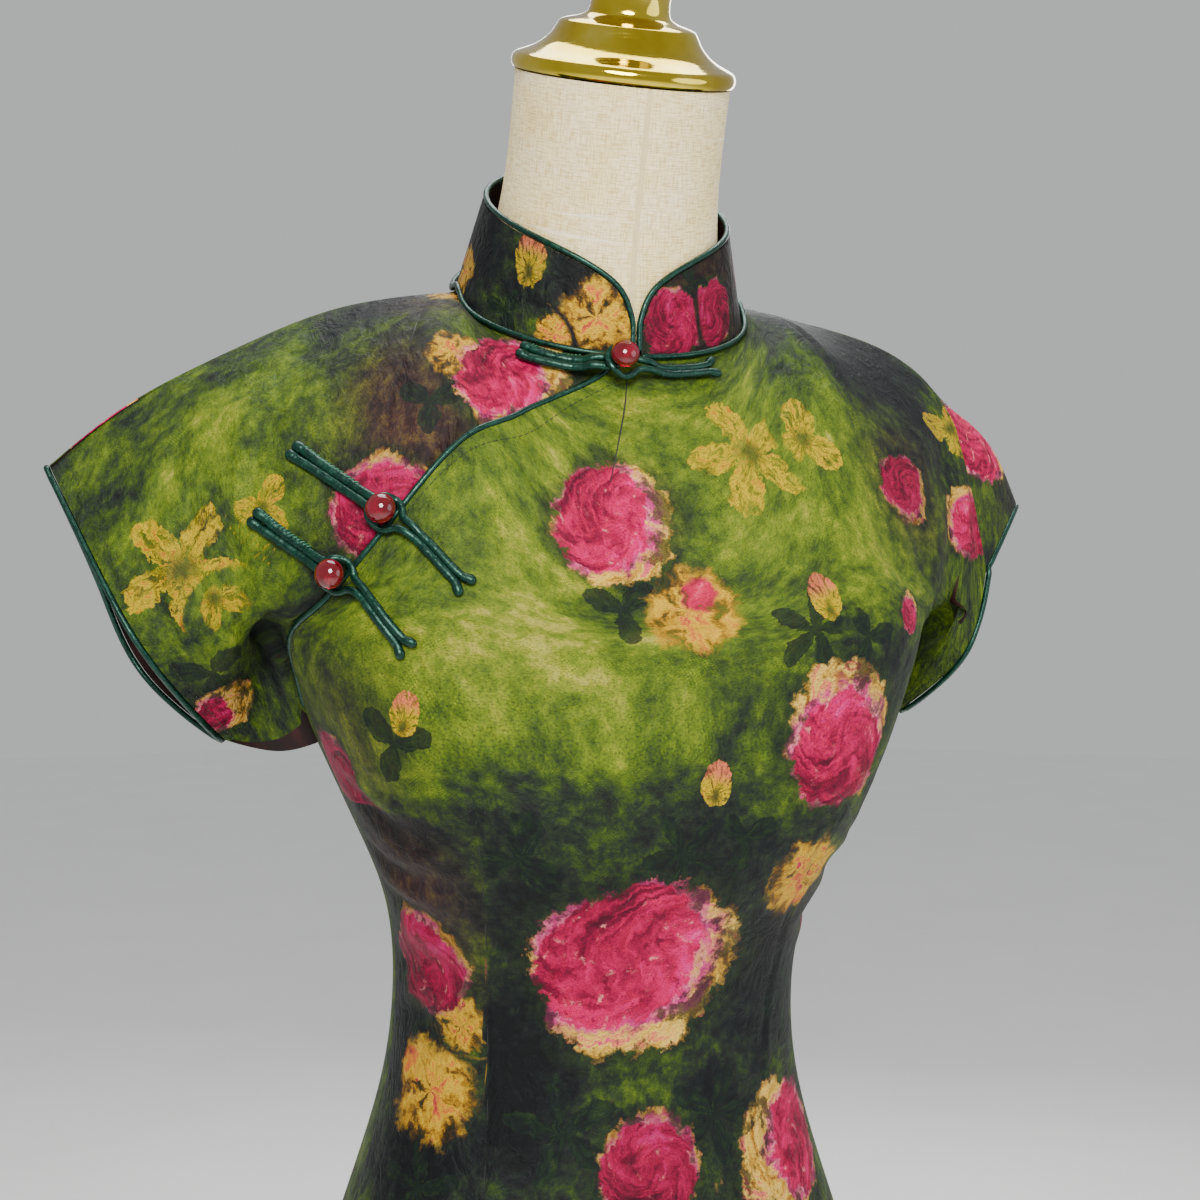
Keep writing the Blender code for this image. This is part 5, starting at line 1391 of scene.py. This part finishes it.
def make_stand():
    """The neck's gold cap, and the pole and round base that carry the form."""
    axis = leaning(NECK_LEAN)
    centre, upward = np.array((0.0, BODY_RINGS[0][4], 0.0)), (0.0, 0.0, 1.0)
    foot, slim = BASE_BOSS_HEIGHT + SEAM_GAP, POLE_RADIUS - 0.0006
    socket, plug, end = POLE_RADIUS - 0.001, POLE_RADIUS - 0.0014, FORM_BOTTOM - 0.001
    pole = (
        (0, foot), (socket, foot), (POLE_RADIUS, foot + 0.002), (POLE_RADIUS, foot + 0.02),
        (slim, foot + 0.021), (slim, foot + 0.30), (POLE_RADIUS, foot + 0.302),
        (POLE_RADIUS, foot + 0.33), (plug, foot + 0.334), (plug, end), (0, end),
    )
    base = [(0, 0)] + [(BASE_RADIUS - inside, height) for inside, height in (
        (0.002, 0), (0, 0.002), (0, BASE_THICKNESS - 0.004), (0.004, BASE_THICKNESS),
        (0.010, BASE_THICKNESS + 0.0002), (0.012, BASE_THICKNESS - 0.0004), (0.014, BASE_THICKNESS + 0.0003),
    )] + [(BASE_BOSS_RADIUS + outside, height) for outside, height in (
        (0.006, BASE_THICKNESS + 0.0026), (0, BASE_THICKNESS + 0.0042), (-0.004, BASE_BOSS_HEIGHT - 0.003),
        (-0.008, BASE_BOSS_HEIGHT),
    )] + [(0, BASE_BOSS_HEIGHT)]
    for node, profile, segments, start, along in (
        ("neck_cap", rounded_profile(CAP_PROFILE), 128, NECK_CENTRE + axis * NECK_LENGTH, axis),
        ("pole", pole, 64, centre, upward), ("base", base, 160, centre, upward),
    ):
        points, faces = turned(profile, segments, start, along)
        make_piece(node + "_gold", points, faces, ["polished_gold"], node, sharp=40)


# ---------------------------------------------------------------- materials


def paint(red, green, blue):
    """A linear colour from its usual 0 to 255 values."""
    value = np.array((red, green, blue), float) / 255
    linear = np.where(value <= 0.04045, value / 12.92, ((value + 0.055) / 1.055) ** 2.4)
    return (*[float(v) for v in linear], 1.0)


LOOKS = {}    # the materials by their plain names


class Value:
    """A socket to calculate with; each sum, difference and product is a node."""

    def __init__(self, nodes, socket):
        self.nodes, self.socket = nodes, socket

    def __add__(self, other):
        return self.nodes.math("ADD", self, other)

    def __sub__(self, other):
        return self.nodes.math("SUBTRACT", self, other)

    def __rsub__(self, other):
        return self.nodes.math("SUBTRACT", other, self)

    def __mul__(self, other):
        return self.nodes.math("MULTIPLY", self, other)


class Nodes:
    """Short names for the nodes of one material."""

    def __init__(self, name):
        self.material = LOOKS[name] = bpy.data.materials.new("look_" + name)
        self.material.use_nodes = True
        self.tree = self.material.node_tree

    def feed(self, socket, value):
        if isinstance(value, Value):
            self.tree.links.new(value.socket, socket)
        else:
            socket.default_value = value

    def make(self, kind, values, out=0, **settings):
        """One output of a new node, with values for its sockets by name or number."""
        node = self.tree.nodes.new(kind)
        for name, value in settings.items():
            setattr(node, name, value)
        for name, value in values.items():
            self.feed(node.inputs[name], value)
        return Value(self, node.outputs[out])

    def math(self, operation, *values, clamp=False):
        return self.make("ShaderNodeMath", dict(enumerate(values)), operation=operation, use_clamp=clamp)

    def vector(self, operation, *values, **named):
        out = "Value" if operation == "LENGTH" else "Vector"
        return self.make("ShaderNodeVectorMath", dict(enumerate(values)) | named, out, operation=operation)

    def mix(self, share, one, two, blend="MIX"):
        values = {"Factor": share, 6: one, 7: two}
        return self.make("ShaderNodeMix", values, 2, data_type="RGBA", blend_type=blend)

    def between(self, *values):
        """A smooth step from one value to another: the value, low, high, and what they become."""
        values = (*values, 0.0, 1.0)[:5]
        return self.make("ShaderNodeMapRange", dict(enumerate(values)), interpolation_type="SMOOTHSTEP")

    def noise(self, place, scale, detail=3.0, rough=0.55, distortion=0.0, out=0):
        values = {"Vector": place, "Scale": scale, "Detail": detail, "Roughness": rough}
        return self.make("ShaderNodeTexNoise", values | {"Distortion": distortion}, out)

    def ramp(self, value, *stops):
        """Colours at places between 0 and 1, as (place, red, green, blue)."""
        ramp = self.make("ShaderNodeValToRGB", {0: value})
        marks = ramp.socket.node.color_ramp.elements
        while len(marks) < len(stops):
            marks.new(1.0)
        for mark, (at, *colour) in zip(marks, stops):
            mark.position, mark.color = at, paint(*colour)
        return ramp

    def field(self, name):
        return self.make("ShaderNodeAttribute", {}, "Vector", attribute_name=name)

    def object_place(self):
        return self.make("ShaderNodeTexCoord", {}, "Object")

    def parts(self, vector):
        node = self.make("ShaderNodeSeparateXYZ", {0: vector}).socket.node
        return [Value(self, socket) for socket in node.outputs]

    def join(self, *values):
        return self.make("ShaderNodeCombineXYZ", dict(enumerate(values)))

    def bump(self, height, strength, distance, **named):
        values = {"Height": height, "Strength": strength, "Distance": distance}
        return self.make("ShaderNodeBump", values | named)

    def set(self, **values):
        for name, value in values.items():
            self.feed(self.tree.nodes["Principled BSDF"].inputs[name.replace("_", " ")], value)


def shaken(value, noise, amount):
    """A value moved up and down by a noise."""
    return value + (noise - 0.5) * amount


def motif(nodes, kind, cloth, coarse, fine):
    """A motif's look, nearness, and place and distance from its middle, shaken as by a loaded brush."""
    at = nodes.field(kind + "_at")
    local = at
    for amount, *noise in ((coarse, 60.0, 3.0), (fine, 230.0, 4.0, 0.6)):
        shake = nodes.vector("SUBTRACT", nodes.noise(cloth, *noise, out="Color"), (0.5, 0.5, 0.5))
        local = nodes.vector("ADD", local, nodes.vector("SCALE", shake, Scale=amount))
    local = nodes.vector("MULTIPLY", local, (1.0, 1.0, 0.0))
    look = nodes.parts(nodes.field(kind + "_look"))
    return look, nodes.parts(at)[2], local, nodes.vector("LENGTH", local)


def star(nodes, petals, local, far, power, size, core):
    """How deep inside a star of petals a point lies, its turn round the middle, and its x."""
    x, y, _ = nodes.parts(local)
    turn = nodes.math("ARCTAN2", y, x)
    lobe = nodes.math("ABSOLUTE", nodes.math("COSINE", turn * (petals * 0.5)))
    return nodes.math("POWER", lobe, power) * size + core - far, turn, x


def ring_strokes(nodes, local, far, seed, round_scale, out_scale):
    """Noise drawn out round the motif's middle."""
    x, y, _ = nodes.parts(nodes.vector("NORMALIZE", local))
    place = nodes.join(x * round_scale + seed, y * round_scale, far * out_scale)
    return nodes.noise(place, 1.0, 4.0, 0.62, 0.3)


def painted_ground(nodes, blotch, dabs):
    """Greens from near black to pale, purple-brown shade, and dark green dabs round the roses."""
    bright, purple, _ = nodes.parts(nodes.field("ground"))
    # This level carries painted shade in folds and on the sides as well as the print's own light and dark.
    level = shaken(shaken(bright, blotch, 1.25), dabs, 1.0)
    colour = nodes.ramp(
        level, (0.0, 6, 8, 12), (0.18, 15, 20, 23), (0.34, 27, 38, 26), (0.48, 44, 62, 17),
        (0.62, 64, 84, 15), (0.78, 88, 106, 20), (0.9, 112, 120, 34), (1.0, 140, 138, 60),
    )
    umber = nodes.ramp(dabs, (0.34, 24, 11, 22), (0.5, 56, 31, 32), (0.66, 90, 68, 36))
    share = nodes.math("MULTIPLY", purple, nodes.between(blotch, 0.3, 0.55, 0.45, 1.0), clamp=True)
    colour = nodes.mix(share, colour, umber)
    at = nodes.field("rose_at")
    apart = shaken(nodes.vector("LENGTH", nodes.vector("MULTIPLY", at, (1.0, 1.0, 0.0))), blotch, 1.1)
    halo = nodes.between(apart, 1.3, 0.96, 0.0, 0.72) * nodes.parts(at)[2]
    return nodes.mix(halo, colour, nodes.ramp(dabs, (0.4, 8, 14, 18), (0.62, 30, 44, 20)))


def painted_leaves(nodes, cloth, dabs, colour):
    look, near, local, far = motif(nodes, "leaf", cloth, 0.34, 0.2)
    inside, turn, _ = star(nodes, look[1], local, far, 1.6, 0.85, 0.12)
    vein = nodes.noise(nodes.join(turn * 2.0, far, look[0]), 3.0, 4.0)
    leaf = nodes.ramp(vein, (0.32, 5, 9, 14), (0.5, 10, 22, 20), (0.62, 18, 36, 18), (0.74, 36, 50, 20))
    cover = nodes.between(shaken(nodes.between(inside, -0.03, 0.06) * near, dabs, 1.1), 0.35, 0.75)
    return nodes.mix(cover * (near * 0.85), colour, leaf)


def painted_lilies(nodes, cloth, dabs, colour):
    """Yellow lilies, and buds with a rosy tip."""
    look, near, local, far = motif(nodes, "lily", cloth, 0.34, 0.24)
    bud = nodes.between(look[1], 2.0, 1.0)
    inside, turn, x = star(nodes, look[1], local, far, bud * 1.5 + 1.1, 0.72, 0.27)
    streak = nodes.noise(nodes.join(turn * 3.0, far * 1.2, look[0]), 2.6, 5.0, 0.65)
    lily = nodes.ramp(
        streak, (0.32, 52, 56, 4), (0.4, 112, 92, 0), (0.48, 156, 132, 0), (0.56, 180, 156, 4),
        (0.63, 178, 112, 2), (0.72, 152, 62, 18),
    )
    lily = nodes.mix(nodes.between(far, 0.34, 0.05), lily, paint(66, 66, 16))
    tip = bud * nodes.between(x, 0.3, 0.7) * 0.8
    lily = nodes.mix(tip, lily, nodes.ramp(streak, (0.35, 140, 12, 46), (0.65, 210, 96, 90)))
    lily = nodes.mix(look[2] * 0.8, lily, paint(54, 54, 24))
    cover = nodes.between(shaken(nodes.between(inside, -0.04, 0.05) * near, dabs, 1.3), 0.3, 0.78)
    cover = cover * nodes.between(streak, 0.36, 0.54, 0.25, 0.88)
    return nodes.mix(cover * near, colour, lily)


def painted_blossoms(nodes, cloth, dabs, colour):
    """Pale open roses with a magenta heart."""
    look, near, local, far = motif(nodes, "blossom", cloth, 0.4, 0.22)
    stroke = (far - 0.5) * -0.1 + ring_strokes(nodes, local, far, look[0], 1.6, 2.2)
    petals = nodes.ramp(
        stroke, (0.32, 44, 44, 12), (0.4, 112, 74, 8), (0.46, 164, 120, 8), (0.54, 192, 154, 34),
        (0.6, 190, 116, 36), (0.67, 176, 62, 52), (0.78, 130, 22, 58),
    )
    apart = nodes.vector("LENGTH", nodes.vector("SUBTRACT", local, (0.36, 0.2, 0.0)))
    magenta = nodes.ramp(stroke, (0.35, 120, 0, 40), (0.6, 184, 10, 72), (0.75, 214, 84, 120))
    petals = nodes.mix(nodes.between(apart, look[2], look[2] * 0.66), petals, magenta)
    petals = nodes.mix(look[1] * 0.9, petals, paint(52, 40, 16))
    lobes = ring_strokes(nodes, local, 0.0, look[0] + 4.0, 1.5, 0.0)
    mask = nodes.between(shaken(shaken(far, lobes, 1.0), dabs, 0.45), 1.0, 0.72) * near
    return nodes.mix(mask * nodes.between(stroke, 0.34, 0.46, 0.45, 0.95), colour, petals)


def painted_roses(nodes, cloth, dabs, colour):
    """Roses with folded petals and a broken pale rim, wider on one side."""
    look, near, local, far = motif(nodes, "rose", cloth, 0.22, 0.16)
    side = nodes.parts(nodes.vector("NORMALIZE", local))[0]
    stroke = ring_strokes(nodes, local, far, look[0], 1.9, 4.4)
    broad = ring_strokes(nodes, local, far, look[0] + 9.0, 1.2, 1.8)
    lobes = ring_strokes(nodes, local, 0.0, look[0] + 4.0, 1.7, 0.0)
    values = {"Vector": local, "Angle": far * 2.2}
    swirl = nodes.make("ShaderNodeVectorRotate", values, rotation_type="Z_AXIS")
    place = nodes.vector("ADD", swirl, nodes.join(look[0], look[0], 0.0))
    smear = nodes.noise(nodes.vector("MULTIPLY", place, (2.2, 5.0, 1.0)), 1.0, 5.0, 0.62, 0.8)
    cells = nodes.make(
        "ShaderNodeTexVoronoi", {"Vector": place, "Scale": 1.9}, "Distance", voronoi_dimensions="2D",
        feature="DISTANCE_TO_EDGE",
    )
    fold = nodes.between(cells, 0.13, 0.0)
    depth = smear * 0.7 + broad * 0.3 + side * far * 0.1
    flesh = nodes.ramp(
        depth, (0.32, 66, 0, 28), (0.41, 108, 0, 44), (0.49, 152, 0, 62), (0.57, 184, 0, 82),
        (0.66, 200, 22, 112), (0.78, 216, 92, 144),
    )
    flesh = nodes.mix(fold * nodes.between(dabs, 0.55, 0.66) * 0.75, flesh, paint(222, 134, 140))
    flesh = nodes.mix(fold * nodes.between(dabs, 0.47, 0.36, 0.0, 0.8), flesh, paint(62, 0, 22))
    past_rim = shaken(far, stroke, 0.55) + look[2] * nodes.between(side, -0.7, 0.9, 0.25, 2.0) - 0.96
    rim = nodes.between(past_rim, -0.02, 0.06)
    pale = nodes.ramp(
        smear, (0.3, 66, 54, 12), (0.38, 140, 92, 24), (0.46, 182, 138, 44), (0.54, 204, 172, 84),
        (0.61, 200, 110, 78), (0.7, 184, 54, 104), (0.82, 146, 10, 76),
    )
    lilac = nodes.ramp(stroke, (0.34, 120, 8, 66), (0.5, 186, 52, 120), (0.64, 214, 118, 138))
    pale = nodes.mix(nodes.between(shaken(past_rim, broad, 0.9), 0.22, 0.06), pale, lilac)
    petal = nodes.mix(rim, flesh, pale)
    sunk = nodes.math("MULTIPLY", look[1], 0.9, clamp=True)
    petal = nodes.mix(sunk, petal, nodes.ramp(smear, (0.35, 30, 2, 14), (0.65, 84, 4, 34)))
    mask = nodes.between(shaken(shaken(far, lobes, 0.62), dabs, 0.5), 1.0, 0.9) * near
    gaps = rim * nodes.between(broad + dabs * 0.5, 0.76, 0.66, 0.0, 0.85)
    return nodes.mix(mask * (1.0 - gaps), colour, petal)


def make_print():
    """Painted roses, lilies, buds and leaves on a mottled green ground, on woven silk."""
    nodes = Nodes("print_silk")
    cloth = nodes.field("cloth")
    blotch = nodes.noise(cloth, 34.0, 5.0, 0.64, 0.15)
    dabs = nodes.noise(cloth, 130.0, 6.0, 0.72, 0.2)
    colour = painted_ground(nodes, blotch, dabs)
    for painted in (painted_leaves, painted_lilies, painted_blossoms, painted_roses):
        colour = painted(nodes, cloth, dabs, colour)

    # Woven cloth: fine threads, patches of figured weave, worn speckle
    x, y, _ = nodes.parts(cloth)
    speckle = nodes.noise(nodes.join(x * 0.8, y * 1.7, 0.0), 1100.0, 3.0, 0.7)
    worn = nodes.between(speckle, 0.46, 0.7, 0.0, 0.85)
    colour = nodes.mix(worn, colour, paint(224, 220, 140), "SOFT_LIGHT")
    colour = nodes.mix(nodes.between(speckle, 0.52, 0.28, 0.0, 0.7), colour, paint(8, 11, 10))
    figure = nodes.between(nodes.noise(cloth, 54.0, 4.0, 0.6), 0.57, 0.62)
    slant, cross = x * 4100.0 + y * 1000.0, y * 3500.0 - x * 800.0
    dots = nodes.math("SINE", slant) * nodes.math("SINE", cross)
    raised = figure * nodes.between(dots, 0.05, 0.6)
    lighter = nodes.mix(0.9, colour, paint(236, 232, 170), "SOFT_LIGHT")
    colour = nodes.mix(raised * 0.85, colour, lighter)

    soft = nodes.noise(cloth, 26.0, 4.0, 0.55, 0.5)
    crinkle = nodes.noise(nodes.join(x, y * 0.7, 4.0), 64.0, 4.0, 0.6, 0.7)
    crinkle = nodes.between(nodes.math("ABSOLUTE", crinkle - 0.5), 0.0, 0.12)
    normal = nodes.bump(crinkle, 0.34, 0.0018, Normal=nodes.bump(soft, 0.5, 0.006))
    normal = nodes.bump(speckle * 0.8 + raised * 0.6, 0.55, 0.0004, Normal=normal)
    nodes.set(
        Base_Color=colour, Roughness=nodes.between(speckle, 0.2, 0.8, 0.54, 0.7), Normal=normal,
        Sheen_Weight=0.02, Sheen_Roughness=0.4, Specular_IOR_Level=0.15,
    )


def make_lining():
    """Dark cloth inside, mottled with brown: partly the cloth's own dark red-brown, partly painted shade
    inside the dress.
    """
    nodes = Nodes("lining")
    cloth = nodes.field("cloth")
    grain = nodes.noise(cloth, 40.0, 4.0)
    # These dark colours are partly the cloth's own and partly painted shade inside the dress.
    colour = nodes.ramp(grain, (0.3, 10, 9, 9), (0.5, 28, 14, 15), (0.62, 46, 20, 20), (0.75, 40, 38, 22))
    normal = nodes.bump(nodes.noise(cloth, 1400.0, 2.0), 0.3, 0.0002)
    nodes.set(Base_Color=colour, Roughness=0.7, Normal=normal, Specular_IOR_Level=0.15)


def make_satin():
    """Bias-cut satin: fine slanting threads and a running gloss."""
    nodes = Nodes("green_satin")
    x, y, _ = nodes.parts(nodes.field("cloth"))
    place = nodes.join(x, y, 0.0)
    threads = nodes.noise(nodes.join(y + x, (x - y) * 0.1, 0.0), 3200.0, 2.0, 0.5)
    colour = nodes.ramp(nodes.noise(place, 120.0), (0.3, 0, 11, 8), (0.5, 0, 22, 16), (0.7, 3, 38, 27))
    colour = nodes.mix(nodes.between(threads, 0.52, 0.72, 0.0, 0.26), colour, paint(30, 116, 86))
    uneven = nodes.noise(place, 260.0, 2.0)
    normal = nodes.bump(threads, 0.3, 0.00015, Normal=nodes.bump(uneven, 0.35, 0.0008))
    nodes.set(
        Base_Color=colour, Roughness=nodes.between(uneven, 0.3, 0.7, 0.24, 0.46), Normal=normal,
        Sheen_Weight=0.0, Sheen_Roughness=0.3, Specular_IOR_Level=0.5, Specular_Tint=(0.5, 1.0, 0.82, 1.0),
    )


def make_threads():
    """Sewing threads: dark on the print, pale green with a painted highlight on the frogs, and painted shade
    in the darts' folds.
    """
    for name, dark, light in (
        # the frogs' pale thread: real stitches whose pale green is a painted highlight
        ("thread", (14, 22, 10), (44, 56, 22)), ("highlight_painted_thread", (16, 62, 44), (64, 138, 104)),
        # dark tubes that paint the shade inside the darts' folds
        ("dart_shadow", (3, 5, 3), (12, 16, 8)),
    ):
        nodes = Nodes(name)
        tone = nodes.noise(nodes.object_place(), 900.0, 2.0)
        colour = nodes.ramp(tone, (0.3, *dark), (0.7, *light))
        nodes.set(Base_Color=colour, Roughness=0.55, Normal=nodes.bump(tone, 0.3, 0.0002))


def make_glass():
    """Cloudy ruby glass: deep at the rim, with fine clouds inside and a hard gloss."""
    nodes = Nodes("red_glass")
    cloud = nodes.noise(nodes.object_place(), 120.0, 3.0, 0.5, 0.6)
    nodes.set(
        Base_Color=nodes.ramp(cloud, (0.3, 100, 0, 16), (0.55, 128, 0, 28), (0.75, 156, 0, 44)),
        Roughness=nodes.between(cloud, 0.3, 0.7, 0.03, 0.08), Coat_Weight=0.4,
        Coat_Roughness=0.02, IOR=1.48, Subsurface_Weight=0.16, Subsurface_Radius=(0.006, 0.0006, 0.001),
        Subsurface_Scale=0.5, Transmission_Weight=0.5, Normal=nodes.bump(cloud, 0.01, 0.0005),
    )


def make_linen():
    """Cream linen with uneven threads both ways."""
    nodes = Nodes("linen")
    cloth = nodes.field("cloth")
    x, y, _ = nodes.parts(cloth)
    weft = nodes.noise(nodes.join(x * 0.07, y, 0.0), 1700.0, 3.0, 0.7)
    warp = nodes.noise(nodes.join(x, y * 0.07, 3.0), 1700.0, 3.0, 0.7)
    slub = nodes.noise(nodes.join(x * 0.04, y, 7.0), 260.0, 2.0)
    patch = nodes.noise(cloth, 30.0, 4.0)
    colour = nodes.ramp(patch, (0.3, 244, 222, 160), (0.5, 250, 234, 182), (0.7, 253, 242, 204))
    colour = nodes.mix(nodes.between(weft, 0.54, 0.38, 0.0, 0.52), colour, paint(176, 140, 56))
    colour = nodes.mix(nodes.between(warp, 0.54, 0.38, 0.0, 0.48), colour, paint(180, 144, 60))
    colour = nodes.mix(nodes.between(slub, 0.62, 0.72, 0.0, 0.5), colour, paint(254, 248, 226))
    height = weft * 0.5 + warp * 0.5 + slub * 0.4
    nodes.set(
        Base_Color=colour, Roughness=0.88, Normal=nodes.bump(height, 0.8, 0.0006), Sheen_Weight=0.1,
        Specular_IOR_Level=0.2,
    )


def make_gold():
    """Polished brass-gold with faint wiping marks."""
    nodes = Nodes("polished_gold")
    place = nodes.object_place()
    x, y, z = nodes.parts(place)
    marks = nodes.noise(nodes.join(x, y, z * 14.0), 60.0, 4.0, 0.6)
    film = nodes.noise(place, 34.0)
    nodes.set(
        Base_Color=nodes.ramp(film, (0.3, 186, 158, 40), (0.55, 208, 184, 60), (0.75, 226, 206, 96)),
        Metallic=1.0, Roughness=nodes.between(marks, 0.35, 0.75, 0.05, 0.15),
        Normal=nodes.bump(film, 0.06, 0.004, Normal=nodes.bump(marks, 0.05, 0.0006)),
    )


def make_floor_material():
    nodes = Nodes("pale_floor")
    tone = nodes.noise(nodes.object_place(), 3.0)
    nodes.set(Base_Color=nodes.ramp(tone, (0.3, 247, 247, 246), (0.7, 251, 251, 250)), Roughness=0.8)


# ---------------------------------------------------------------- stage


LIGHTS = (
    # name, place, aim, size, power, colour
    ("key", (-0.50, -1.95, 2.05), (0.0, 0.0, 1.15), 1.0, 82.0, (1.0, 0.97, 0.92)),
    ("fill", (1.70, -1.30, 1.45), (0.0, 0.0, 1.15), 1.6, 14.0, (0.95, 0.97, 1.0)),
    ("top", (0.15, 0.35, 2.60), (0.0, 0.0, 1.2), 1.2, 26.0, (1.0, 1.0, 1.0)),
    ("back", (0.9, 2.0, 1.9), (0.0, 0.0, 1.1), 1.5, 34.0, (1.0, 1.0, 1.0)),
)
WORLD_COLOUR, WORLD_STRENGTH = (0.84, 0.85, 0.86, 1.0), 0.62


def make_stage():
    """A pale floor, four soft lights and an even grey surround."""
    profile, centre = ((0, 0), (1, 0), (4, 0), (9, 0)), np.array((0.0, 0.0, -0.0005))
    points, faces = turned(profile, 96, centre, (0.0, 0.0, 1.0))
    mesh = bpy.data.meshes.new("floor")
    mesh.from_pydata(points.tolist(), [], faces)
    mesh.materials.append(LOOKS["pale_floor"])
    floor = bpy.data.objects.new("floor", mesh)
    bpy.context.scene.collection.objects.link(floor)
    for name, place, aim, size, power, colour in LIGHTS:
        data = bpy.data.lights.new(name, "AREA")
        data.shape, data.size, data.energy, data.color = "DISK", size, power, colour
        light = bpy.data.objects.new(name, data)
        bpy.context.scene.collection.objects.link(light)
        light.location = place
        light.rotation_euler = (Vector(aim) - Vector(place)).to_track_quat("-Z", "Y").to_euler()
    world = bpy.data.worlds.new("studio")
    world.use_nodes = True
    background = world.node_tree.nodes["Background"]
    background.inputs["Color"].default_value = WORLD_COLOUR
    background.inputs["Strength"].default_value = WORLD_STRENGTH
    bpy.context.scene.world = world


# ---------------------------------------------------------------- making


for make in (
    make_print, make_lining, make_satin, make_threads, make_glass, make_linen, make_gold, make_floor_material,
    make_cloth, make_collar, make_pipings,
):
    make()
for name, *places in FROGS:
    make_frog(name + "_frog", *places)
for make in (make_all_stitches, make_dart_shadow_lines, make_form, make_stand, make_stage):
    make()
